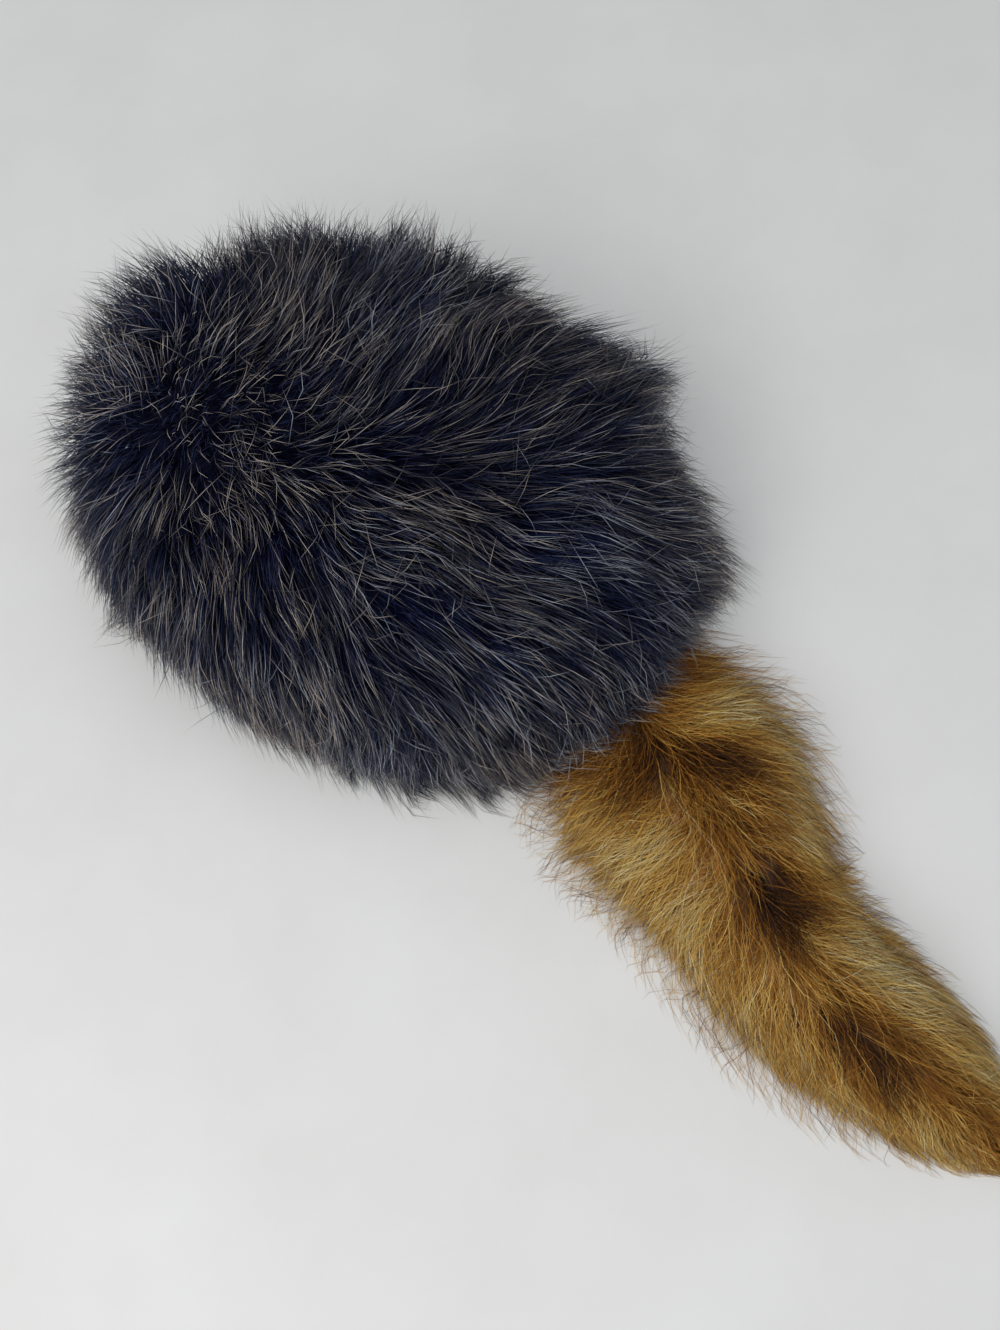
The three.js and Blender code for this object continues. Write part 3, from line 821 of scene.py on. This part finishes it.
def hair_mesh(name, batches, columns, material):
    """Hairs as one mesh of closed three-sided spikes. A batch is the hairs' paths in mm, the width at
    each point and the strip of the UV map that each hair has. The map is the one the export bakes."""
    rng = np.random.default_rng(len(name))
    vertices, loops, starts, charts = [], [], [], []
    vertex_count = loop_count = 0
    across = (0.15, 0.5, 0.85)  # where each corner is in its strip
    for paths, widths, strips in batches:
        count, steps = paths.shape[:2]
        ahead = unit(np.gradient(paths, axis=1))
        side = np.broadcast_to(unit(rng.normal(size=(count, 1, 3))), ahead.shape)
        side = unit(side - ahead * (side * ahead).sum(2, keepdims=True))
        other = np.cross(ahead, side)
        corners = []
        for angle in np.radians((0, 120, 240)):
            offset = (side * math.cos(angle) + other * math.sin(angle)) * widths[..., None] / 2
            corners.append((paths + offset)[:, :-1])
        rings = np.stack(corners, 2).reshape(count, -1, 3)
        vertices.append(np.concatenate([rings, paths[:, -1:]], 1).reshape(-1, 3))
        tip = 3 * (steps - 1)
        face_list = [([0, 2, 1], [(0.15, 0), (0.85, 0), (0.5, 0.01)])]
        for ring in range(steps - 1):
            v0, v1 = ring / (steps - 1), (ring + 1) / (steps - 1)
            for i, j in ((0, 1), (1, 2), (2, 0)):
                a, b = 3 * ring + i, 3 * ring + j
                spots = [(across[i], v0), (across[j], v0), (across[j], v1), (across[i], v1)]
                if ring < steps - 2:
                    face_list.append(([a, b, b + 3, a + 3], spots))
                else:
                    face_list.append(([a, b, tip], [*spots[:2], (0.5, 1)]))
        corner = np.concatenate([face for face, _ in face_list])
        chart = np.concatenate([uv for _, uv in face_list])
        start = np.concatenate([[0], np.cumsum([len(face) for face, _ in face_list])[:-1]])
        hairs = np.arange(count)[:, None]
        loops.append((corner + hairs * (tip + 1) + vertex_count).ravel())
        starts.append((start + hairs * len(corner) + loop_count).ravel())
        u = (chart[:, 0] + strips[:, None]) / columns
        v = np.broadcast_to(chart[:, 1], u.shape)
        charts.append(np.stack([u, v], 2).reshape(-1, 2))
        vertex_count += (tip + 1) * count
        loop_count += len(corner) * count
    mesh = bpy.data.meshes.new(name)
    mesh.vertices.add(vertex_count)
    mesh.vertices.foreach_set("co", (np.concatenate(vertices) * MM).ravel())
    mesh.loops.add(loop_count)
    mesh.loops.foreach_set("vertex_index", np.concatenate(loops))
    first = np.concatenate(starts)
    mesh.polygons.add(len(first))
    mesh.polygons.foreach_set("loop_start", first)
    mesh.update(calc_edges=True)
    mesh.uv_layers.new(name="OFBake").uv.foreach_set("vector", np.concatenate(charts).ravel())
    mesh.shade_smooth()
    mesh.materials.append(material)
    return placed(name, mesh)


def taper(widths, steps, tip):
    """The width along each hair, full from near the root and thin at the tip."""
    part = np.linspace(0, 1, steps)
    return widths[:, None] * (1 - (1 - tip) * part**2.2)


hair = Finish("cap_hair")
across, along = hair.chart("OFBake")
strip = (across * CAP_COLUMNS).floor()
guard = strip.math("GREATER_THAN", strip, 2 * TONES - 0.5)
brown = (strip / TONES).floor() - guard * 2
tone = (strip - (strip / TONES).floor() * TONES) / (TONES - 1)
dark_hair = hair.ramp(along, (0, (2, 4, 30)), (0.5, (13, 19, 60)), (1, (62, 68, 114)))
pale_hair = hair.ramp(
    along,
    (0, (3, 5, 26)),
    (0.34, (24, 28, 62)),
    (0.56, (146, 144, 156)),
    (1, (255, 252, 248)),
)
dimmed_dark = hair.ramp(tone, (0, (0.12, 0.12, 0.16, 1)), (0.6, (0.5, 0.5, 0.54, 1)), (1, (1, 1, 1, 1)))
dimmed_pale = hair.ramp(
    tone,
    (0, (0.04, 0.04, 0.06, 1)),
    (0.5, (0.2, 0.2, 0.22, 1)),
    (0.74, (0.7, 0.69, 0.69, 1)),
    (0.85, (1, 1, 1, 1)),
)
hue = hair.mix(brown, (0.84, 0.93, 1.0, 1), (1.0, 0.9, 0.76, 1))
coat = hair.mix(
    guard,
    hair.mix(1.0, dark_hair, dimmed_dark, "MULTIPLY"),
    hair.mix(1.0, pale_hair, dimmed_pale, "MULTIPLY"),
)
hair_material = hair.wear(
    Base_Color=hair.mix(1.0, coat, hue, "MULTIPLY"),
    Roughness=0.4,
    Specular_IOR_Level=0.35,
    Specular_Tint=(0.5, 0.65, 1.0, 1),
)

rng = np.random.default_rng(20)


def hill(distance):
    """1 at no distance, falling softly to 0."""
    return np.exp(-(distance**2))


def angles(spread, count):
    """Random turns, with a spread in degrees."""
    return np.radians(rng.normal(0, spread, count))


fur_total = (fur_area * (fur_spots[..., 2] > 1)).sum()
tufts = scatter(int(fur_total / TUFT_AREA), rng)
tuft_turns = angles(9, len(tufts))
tuft_lift = rng.normal(0, 1.9, len(tufts))
tuft_stretch = 1 + 0.6 * np.exp(-tufts[:, 2] / 20) * (rng.random(len(tufts)) < LONG_TUFTS)
tuft_lift -= 12 * (tuft_stretch - 1)
spiky = np.random.default_rng(5).random(len(tufts)) < SPIKY_TUFTS
tuft_lift -= spiky * 5 * step_up(20, -30, tufts[:, 0] - cap_middle[0])
tuft_tone = rng.random(len(tufts))
roots = scatter(int(fur_total / HAIR_AREA), rng)
roots = roots[tail_share(at_depth(roots, 0.3)) > 1]
tuft_of = nearest_of(roots, tufts)
count = len(roots)
tangled = hill(np.linalg.norm((roots - MATTED)[:, :2], axis=1) / 40)
is_guard = rng.random(count) < GUARD_SHARE * (1 + 0.4 * ripple(roots, 20, 21) + 0.3 * tangled)
whorl_away = np.linalg.norm((roots - WHORL)[:, :2], axis=1)
parted = 1 - step_up(0.3, 0.75, np.linalg.norm(brushed(roots)[0], axis=1))
at_whorl = np.maximum(0.7 * parted, hill(whorl_away / 16))
upright = hill(whorl_away / 72)
is_brown = 0.75 * ripple(roots, 55, 22) + 0.6 * tangled + rng.normal(0.3, 0.6, count) > 0
turn = tuft_turns[tuft_of] + angles(11, count)
turn += angles(110, count) * at_whorl + angles(32, count) * tangled
stray = rng.random(count) < STRAYS
turn += stray * angles(48, count)
depth = np.maximum(depth_of(roots), 6)
low_down = np.exp(-roots[:, 2] / 22)
# Painted light: hairs on this side of the cap get brighter tones, as on the side that the light falls on.
painted_lit_side = np.clip((roots - cap_middle) @ (0.8, 0.9, 0) / 100, -1, 1)  # brighter on this side
pull = np.minimum(rng.uniform(0.2, 0.8, count) + 0.35 * low_down, 0.95) * ~stray * (1 - at_whorl)


def cap_hairs(chosen, steps, length, tip_depth, curl):
    """Paths of the chosen hairs, drawn towards the middle hair of their tuft."""
    tip_depth = np.maximum(tip_depth + tuft_lift[tuft_of[chosen]] - 3.5 * upright[chosen], -12)
    end = 1 - tip_depth / depth[chosen]
    length = length * tuft_stretch[tuft_of[chosen]]
    path = grow(roots[chosen], length, ROOTS_AT, end, turn[chosen], steps, curl)
    middle = grow(tufts, length.mean() * tuft_stretch, 0.4, 0.9, tuft_turns, steps)
    for step in range(1, steps):
        part = step / (steps - 1)
        draw = (pull[chosen] * part**1.3)[:, None]
        point = path[:, step] + (middle[tuft_of[chosen], step] - path[:, step]) * draw
        path[:, step] = at_depth(point, ROOTS_AT + (end - ROOTS_AT) * part**0.7)
        for _ in range(12):
            buried = tail_share(path[:, step]) < 1.03
            path[buried, step, 2] += 3
    return path


def strips_of(chosen, first):
    """Strips of the UV map for the chosen hairs. The brighter ones are further on."""
    bright = 0.33 * tuft_tone[tuft_of[chosen]] + 0.67 * rng.random(len(chosen))
    more = 0.5 * tangled[chosen] + 0.3 * low_down[chosen] + 1.3 * at_whorl[chosen]
    # Painted light: brighter tones on the cap's lit side.
    more += 0.3 * painted_lit_side[chosen] - 0.08
    bright = bright ** (1 / (1 + more))
    return first + TONES * is_brown[chosen] + np.minimum(bright * TONES, TONES - 1).astype(int)


guards, darks = np.flatnonzero(is_guard), np.flatnonzero(~is_guard)
flyaway = rng.random(len(guards)) < FLYAWAYS
guard_tips = np.where(flyaway, -rng.uniform(3, 9, len(guards)), rng.normal(-2.0, 2.2, len(guards)))
guard_length = rng.uniform(*GUARD_LENGTH, len(guards)) * (1 - 0.25 * at_whorl[guards])
curly = rng.random(len(guards)) < 0.15 + 0.5 * at_whorl[guards] + 0.35 * tangled[guards]
guard_curl = np.radians(rng.normal(0, 1, len(guards)) * np.where(curly, 70, 16))
guard_paths = cap_hairs(guards, GUARD_STEPS, guard_length, guard_tips, guard_curl)
dark_tips = rng.uniform(-2.0, 5.0, len(darks))
dark_length = rng.uniform(*DARK_LENGTH, len(darks)) * (1 - 0.25 * at_whorl[darks])
dark_curl = angles(22, len(darks))
dark_paths = cap_hairs(darks, DARK_STEPS, dark_length, dark_tips, dark_curl)
guard_strips = strips_of(guards, 2 * TONES)
guard_widths = taper(0.16 + 0.0035 * (guard_strips % TONES), GUARD_STEPS, 0.5)
dark_widths = taper(rng.uniform(0.34, 0.54, len(darks)), DARK_STEPS, 0.3)
guard_batch = (guard_paths, guard_widths, guard_strips)
dark_batch = (dark_paths, dark_widths, strips_of(darks, 0))

seam_height = column(CLOTH_FORM, HEIGHT, np.array(SEAM_PLACE))
on_crown = at_depth(roots, 0)[:, 2] > seam_height
sector = np.floor(np.degrees(np.arctan2(*(roots - cap_middle)[:, [1, 0]].T)) % 360 / 120).astype(int)
piles = {"crown_pile": on_crown}
for number, side in enumerate(("back_left", "back_right", "front")):
    piles["band_pile_" + side] = ~on_crown & (sector == number)
for name, belongs in piles.items():
    batches = []
    for chosen, (paths, widths, strips) in ((guards, guard_batch), (darks, dark_batch)):
        kept = belongs[chosen]
        batches.append((paths[kept], widths[kept], strips[kept]))
    fitted(hair_mesh(name, batches, CAP_COLUMNS, hair_material), "cap_fur")

# The tail's hide
# A narrow strip of tanned hide runs down the middle of the tail, sewn by its end to the band. Only its
# root shows, from inside the fur. The CAD part has its shape, so it only gets its finish.
hide = Finish("tail_hide_skin")
grain = hide.noise(1.4, detail=5, roughness=0.65)
stains = hide.noise(14, detail=3)
hide_material = hide.wear(
    Base_Color=hide.mottled(
        stains, grain, 0.3, 0.7, ((150, 124, 92), (188, 162, 126)), ((176, 152, 118), (206, 186, 154))
    ),
    Roughness=hide.noise(3) * 0.2 + 0.65,
    Normal=hide.bump(grain, 0.25),
)
hide_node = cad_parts["tail_hide"]
for material_slot in hide_node.material_slots:
    material_slot.material = hide_material

# The tail's underfur
# Dense wool round the hide, tan with brown rings that show from above as dark patches. Its tan is darker
# than the hair's, partly the wool's own colour and partly painted shade between the hairs. It stands for
# the fur's inner half and is hollow for the hide.
TAIL_WOOL = 0.6  # outer and inner side of the wool, as shares of the fur's section
TAIL_HOLLOW = 0.32
PATCHES = (
    # x, y from the cap's middle, radius, strength: where the fur is dark brown
    (0, 88, 24, 0.76),
    (22, 108, 18, 0.68),
    (59, 128, 14, 0.78),
    (49, 131, 13, 0.95),
    (44, 146, 14, 0.98),
    (38, 157, 16, 1.06),
    (36, 172, 9, 0.75),
    (47, 173, 9, 0.85),
    (56, 176, 9, 0.85),
    (65, 177, 10, 0.85),
    (76, 191, 20, 1.06),
    (107, 229, 13, 1.0),
    (113, 244, 13, 0.92),
    (119, 285, 14, 0.5),
)


def clear_of_cap(points):
    """The same points, moved out of the cap's cloth where they are in it."""
    shape = points.shape
    points = points.reshape(-1, 3)
    away = points - CORE
    distance = np.linalg.norm(away, axis=1)
    least = look_up(cloth_reach, unit(away)) + 0.8
    moved = CORE + unit(away) * np.maximum(distance, least)[:, None]
    moved[:, 2] = np.maximum(moved[:, 2], HAIR_LIFT)
    return moved.reshape(shape)


def tail_point(run, turn, share):
    """Points of the tail's fur in mm: how far along its middle line, round its section from the near
    side over the top, and how far out. Past the end the section goes on, ever thinner."""
    past = np.maximum(run - tail_run[-1], 0)
    heading, middle = (
        np.stack([np.interp(run, tail_run, line[:, i]) for i in range(2)], -1)
        for line in (tail_heading, tail_line)
    )
    middle = middle + heading * past[..., None]
    width, height = tail_size(run)
    widest = height * TAIL_WIDEST
    across = width * share * np.cos(turn)
    sine = np.sin(turn)
    rise = np.where(sine > 0, (height - widest) * sine, -widest * np.sqrt(np.abs(sine))) * share
    flat = middle + np.stack([heading[..., 1], -heading[..., 0]], -1) * across[..., None]
    return np.concatenate([flat, np.maximum(widest + rise, HAIR_LIFT)[..., None]], -1)


def tail_size(run):
    """Half the width of the tail's fur and its height."""
    thinner = np.exp(-np.maximum(run - tail_run[-1], 0) / 25)
    width = np.interp(run, tail_run, tail_rows[TAIL_WIDTH]) * thinner
    return width, np.interp(run, tail_run, tail_rows[TAIL_HEIGHT]) * thinner


fleece = Finish("tail_wool")
place = fleece.node("ShaderNodeTexCoord").outputs["Object"]
flattened = fleece.node("ShaderNodeVectorMath", {"operation": "MULTIPLY"}, {0: place, 1: (1, 1, 0)})
brown = None
for x, y, radius, strength in PATCHES:
    spot = (Vector((x, y, 0)) + Vector(cap_middle)) * MM
    apart = {0: flattened.outputs[0], 1: spot}
    away = fleece.number("ShaderNodeVectorMath", {"operation": "DISTANCE"}, apart, "Value")
    patch = away.between(radius * 1.5 * MM, radius * 0.3 * MM) * strength
    brown = patch if brown is None else brown.math("MAXIMUM", brown, patch)
frizz = fleece.noise(1.8, detail=4, roughness=0.65)
# Outside the patches the tan is darker than the hair's: partly the wool's own colour, partly painted shade
# between the hairs.
fleece_material = fleece.wear(
    Base_Color=fleece.mottled(
        brown, frizz, 0.3, 0.7, ((118, 76, 34), (178, 128, 66)), ((30, 17, 10), (72, 42, 20))
    ),
    Roughness=0.85,
    Normal=fleece.bump(frizz, 0.8),
)

section = np.linspace(0, 2 * np.pi, 72, endpoint=False)
wool_runs = np.linspace(0.95, 0.1, 60) * tail_run[-1]
hollow_runs = wool_runs[wool_runs < 0.88 * tail_run[-1]][::-1]


def tail_ring(run, share):
    """The points all round the tail's section at one place along it."""
    return tail_point(np.full(len(section), run), section, share * np.ones(len(section)))


tail_wool = []
for run in wool_runs:
    ring = tail_ring(run, 1)
    lumps = TAIL_WOOL + 0.05 * ripple(ring, 12, 5) + 0.03 * ripple(ring, 5, 6)
    tail_wool.append(tail_ring(run, lumps * np.interp(run / tail_run[-1], (0.86, 0.95), (1, 0.5))))
tail_wool += [tail_ring(run, TAIL_HOLLOW) for run in hollow_runs]
tail_ends = [tail_ring(run, 0)[0] for run in (wool_runs[0] + 3, hollow_runs[-1] + 1.5)]
tail_wool = [clear_of_cap(ring) for ring in tail_wool]
tail_underfur = ring_mesh("tail_underfur", tail_wool, tail_ends, fleece_material)
fitted(tail_underfur, "tail_fur", "tail_fur")

# The tail's pile
# Fine soft hair, golden tan with brown where the rings are. It parts along the tail's spine, spreads
# to both sides nearly square to the tail at its root, and lies ever more along it towards the tip.
TAIL_LEVELS = 16  # from pale to dark
TAIL_TONES = 8  # of each level, from dim to bright
TAIL_COLUMNS = TAIL_LEVELS * TAIL_TONES  # strips of the hairs' UV map
TAIL_STEPS = 5  # points along a hair
TAIL_LENGTH = (23, 38)  # mm, the shortest and the longest
TAIL_HAIRS = 13000
CREST_HAIRS = 1200  # more of them along the parting near the cap
TAIL_TUFTS = 520
SPREAD_RUNS = (20, 70, 120, 180, 240, 290)  # mm along the tail
SPREAD_NEAR = np.radians((108, 98, 76, 44, 24, 12))  # how far the hair turns off the tail's own line
SPREAD_FAR = np.radians((64, 50, 36, 26, 18, 10))


def tail_grow(
    run, turn, near, length, start, end, swing, phase, wave=0.4, steps=TAIL_STEPS, spills=(0.06, 0.24)
):
    """Hairs of the tail, from its underfur outwards and towards its tip. near says which side they go
    to. The spills are how far they may reach out over the table on the near and on the far side, as
    shares of the tail's width."""
    most = np.where(near, *spills) * np.interp(run, (120, 170, 230), (1, 1.8, 5))
    most = np.minimum(most, 0.4)
    path = [tail_point(run, turn, start)]
    spill = np.zeros(len(run))
    for step in range(1, steps):
        part = step / (steps - 1)
        stride = length / (steps - 1)
        to_near, to_far = (np.interp(run, SPREAD_RUNS, spreads) for spreads in (SPREAD_NEAR, SPREAD_FAR))
        at_crest = 1 - step_up(0.0, 0.4, np.abs(np.cos(turn)))
        spread = np.where(near, to_near, to_far) * (1 - 0.45 * at_crest)
        spread = spread + (swing + wave * np.sin(phase + 5 * part))
        width, height = tail_size(run)
        run = run + stride * np.cos(spread)
        off = stride * np.sin(spread)
        radius = np.hypot(width * np.sin(turn), height * (1 - TAIL_WIDEST) * np.cos(turn)) + 1
        new_turn = np.where(near, turn - off / radius, turn + off / radius)
        limit = np.where(near, -0.1, np.pi + 0.1)
        over = np.where(near, limit - new_turn, new_turn - limit)
        spill += np.maximum(over, 0) * radius / np.maximum(width, 8)
        turn = np.where(over > 0, limit, new_turn)
        point = tail_point(run, turn, start + (end - start) * part**0.8 + most * np.tanh(spill / most))
        point[:, 2] = np.maximum(point[:, 2] - 0.8 * spill * width, HAIR_LIFT)
        path.append(point)
    return np.stack(path, 1)


def darkness(points):
    """From 0, pale tan, to 1, the darkest brown: how dark the tail's hair is there, with painted shade by
    the cap's edge.
    """
    flat = (points - cap_middle)[:, :2]
    dark = np.zeros(len(points))
    for x, y, radius, strength in PATCHES:
        dark = np.maximum(dark, strength * np.exp(-((flat - (x, y)) ** 2).sum(1) / radius**2))
    away = ((points[:, None, :2] - tail_line[None]) ** 2).sum(2)
    spine = np.exp(-(away.min(1) / 14**2)) * 0.64
    # Painted shade: the hair is darker just past the cap's edge, where the cap shades the tail.
    past_cap = np.maximum(np.hypot(flat[:, 0] / 97, flat[:, 1] / 129) - 0.98, 0)
    root = 0.74 * hill(past_cap / 0.18)
    base = 0.27 + 0.12 * ripple(points, 17, 8) + 0.07 * ripple(points, 7, 9)
    return np.clip(np.maximum.reduce([base, spine, root, dark]), 0, 1)


tail_hair = Finish("tail_hair")
across, along = tail_hair.chart("OFBake")
strip = (across * TAIL_COLUMNS).floor()
level = (strip / TAIL_TONES).floor() / (TAIL_LEVELS - 1)
tone = (strip / TAIL_TONES - (strip / TAIL_TONES).floor()) * TAIL_TONES / (TAIL_TONES - 1)
coat = tail_hair.ramp(
    level,
    (0, (255, 246, 200)),
    (0.2, (255, 220, 124)),
    (0.5, (196, 132, 46)),
    (0.75, (94, 57, 25)),
    (1, (30, 16, 9)),
)
ends = tail_hair.ramp(along, (0, (0.72, 0.58, 0.42, 1)), (0.35, (0.94, 0.9, 0.84, 1)), (1, (1, 1, 1, 1)))
varied = tail_hair.ramp(tone, (0, (0.4, 0.34, 0.27, 1)), (0.4, (0.84, 0.81, 0.77, 1)), (1, (1, 1, 1, 1)))
coat = tail_hair.mix(1.0, tail_hair.mix(1.0, coat, ends, "MULTIPLY"), varied, "MULTIPLY")
tail_material = tail_hair.wear(Base_Color=coat, Roughness=0.55, Specular_IOR_Level=0.2)

rng = np.random.default_rng(31)
TAIL_START, TAIL_END = 26, 266
sizes = sum(tail_size(tail_run)) * ((tail_run > TAIL_START) & (tail_run < TAIL_END))


def tail_spots(count):
    """Places along and round the tail, spread evenly, few of them under it."""
    run = rng.choice(tail_run, count, p=sizes / sizes.sum()) + rng.uniform(-0.5, 0.5, count)
    over = rng.uniform(np.radians(-12), np.radians(192), count)
    under = rng.uniform(np.radians(195), np.radians(345), count)
    return run, np.where(rng.random(count) < 0.9, over, under)


def tail_strips(dark):
    """A strip of the UV map for each hair, from how dark it is."""
    level = np.round(np.clip(dark, 0, 1) * (TAIL_LEVELS - 1)).astype(int)
    return level * TAIL_TONES + rng.integers(0, TAIL_TONES, len(dark))


tuft_run, tuft_round = tail_spots(TAIL_TUFTS)
tuft_near = np.cos(tuft_round) + rng.normal(0, 0.22, TAIL_TUFTS) > 0
tuft_swing = angles(10, TAIL_TUFTS)
tuft_phase = rng.uniform(0, 2 * np.pi, TAIL_TUFTS)
tuft_end = rng.normal(0.94, 0.05, TAIL_TUFTS)
tuft_paths = tail_grow(tuft_run, tuft_round, tuft_near, 31, 0.5, tuft_end, tuft_swing, tuft_phase)
hair_run, hair_round = tail_spots(TAIL_HAIRS)
hair_run = np.append(hair_run[CREST_HAIRS:], rng.uniform(20, 105, CREST_HAIRS))
hair_round = np.append(hair_round[CREST_HAIRS:], np.radians(rng.normal(90, 17, CREST_HAIRS)))
crest = hill(np.cos(hair_round) / 0.35) * np.interp(hair_run, (80, 150), (1, 0.3))
crest *= rng.random(TAIL_HAIRS) < 0.7
hair_spots = tail_point(hair_run, hair_round, np.ones(TAIL_HAIRS))
tuft_of = nearest_of(hair_spots, tail_point(tuft_run, tuft_round, np.ones(TAIL_TUFTS)))
hair_near = tuft_near[tuft_of]
swing = tuft_swing[tuft_of] + angles(15, TAIL_HAIRS)
swing += angles(35, TAIL_HAIRS) * (rng.random(TAIL_HAIRS) < 0.18)
swing -= crest * np.where(hair_near, 0.7, 0.35)
phase = tuft_phase[tuft_of] + rng.normal(0, 1.0, TAIL_HAIRS)
length = rng.uniform(*TAIL_LENGTH, TAIL_HAIRS) * np.interp(hair_run, (200, TAIL_END), (1, 0.45))
at_tip = np.interp(hair_run, (205, TAIL_END), (0, 1))
length *= np.where(~hair_near & (hair_run < 90), 0.8, 1)
tail_paths = tail_grow(
    hair_run, hair_round, hair_near, length,
    rng.uniform(0.44, 0.56, TAIL_HAIRS) + 0.14 * crest,
    tuft_end[tuft_of] + rng.normal(0, 0.07, TAIL_HAIRS) + rng.uniform(0, 0.5, TAIL_HAIRS) * at_tip,
    swing, phase,
)
draw = rng.uniform(0.05, 0.6, TAIL_HAIRS) * (1 - crest) * (1 - at_tip)
for step in range(1, TAIL_STEPS):
    share = (draw * (step / (TAIL_STEPS - 1)) ** 1.3)[:, None]
    tail_paths[:, step] += (tuft_paths[tuft_of, step] - tail_paths[:, step]) * share
tail_paths = clear_of_cap(tail_paths)
dark = darkness(tail_paths[:, 2]) + rng.normal(0, 0.13, TAIL_HAIRS) - 0.16 * ~hair_near
strips = tail_strips(dark)
widths = taper(rng.uniform(0.17, 0.3, TAIL_HAIRS), TAIL_STEPS, 0.35)
for name, kept in (("tail_pile_left", hair_near), ("tail_pile_right", ~hair_near)):
    batch = [(tail_paths[kept], widths[kept], strips[kept])]
    fitted(hair_mesh(name, batch, TAIL_COLUMNS, tail_material), "tail_fur")

# The tail's loose hairs
# Long fine hairs stand out past the rest of the tail's fur in soft curls, darker than the others.
WISPS = 2000
WISP_STEPS = 6
WISP_LENGTH = (24, 46)
wisp_run, wisp_round = tail_spots(WISPS)
side_on = rng.random(WISPS) < 0.8
at_side = np.where(rng.random(WISPS) < 0.4, 0.15, np.pi - 0.15) + rng.normal(0, 0.3, WISPS)
wisp_round = np.where(side_on, at_side, wisp_round)
wisp_swing = angles(16, WISPS)
wisp_phase = rng.uniform(0, 2 * np.pi, WISPS)
wisp_length = rng.uniform(*WISP_LENGTH, WISPS) * np.interp(wisp_run, (0, 160, TAIL_END), (1, 0.9, 0.55))
wisp_near = np.cos(wisp_round) > 0
wisp_paths = tail_grow(
    wisp_run, wisp_round, wisp_near, wisp_length, 0.7, rng.uniform(0.92, 1.2, WISPS),
    wisp_swing, wisp_phase, 0.55, WISP_STEPS, (0.2, 0.36),
)
wisp_strips = tail_strips(np.maximum(rng.normal(np.where(wisp_near, 0.42, 0.5), 0.2), 0.1))
wisp_widths = taper(rng.uniform(0.1, 0.17, WISPS), WISP_STEPS, 0.4)
wisp_batch = (clear_of_cap(wisp_paths), wisp_widths, wisp_strips)
fitted(hair_mesh("tail_wisps", [wisp_batch], TAIL_COLUMNS, tail_material), "tail_fur")
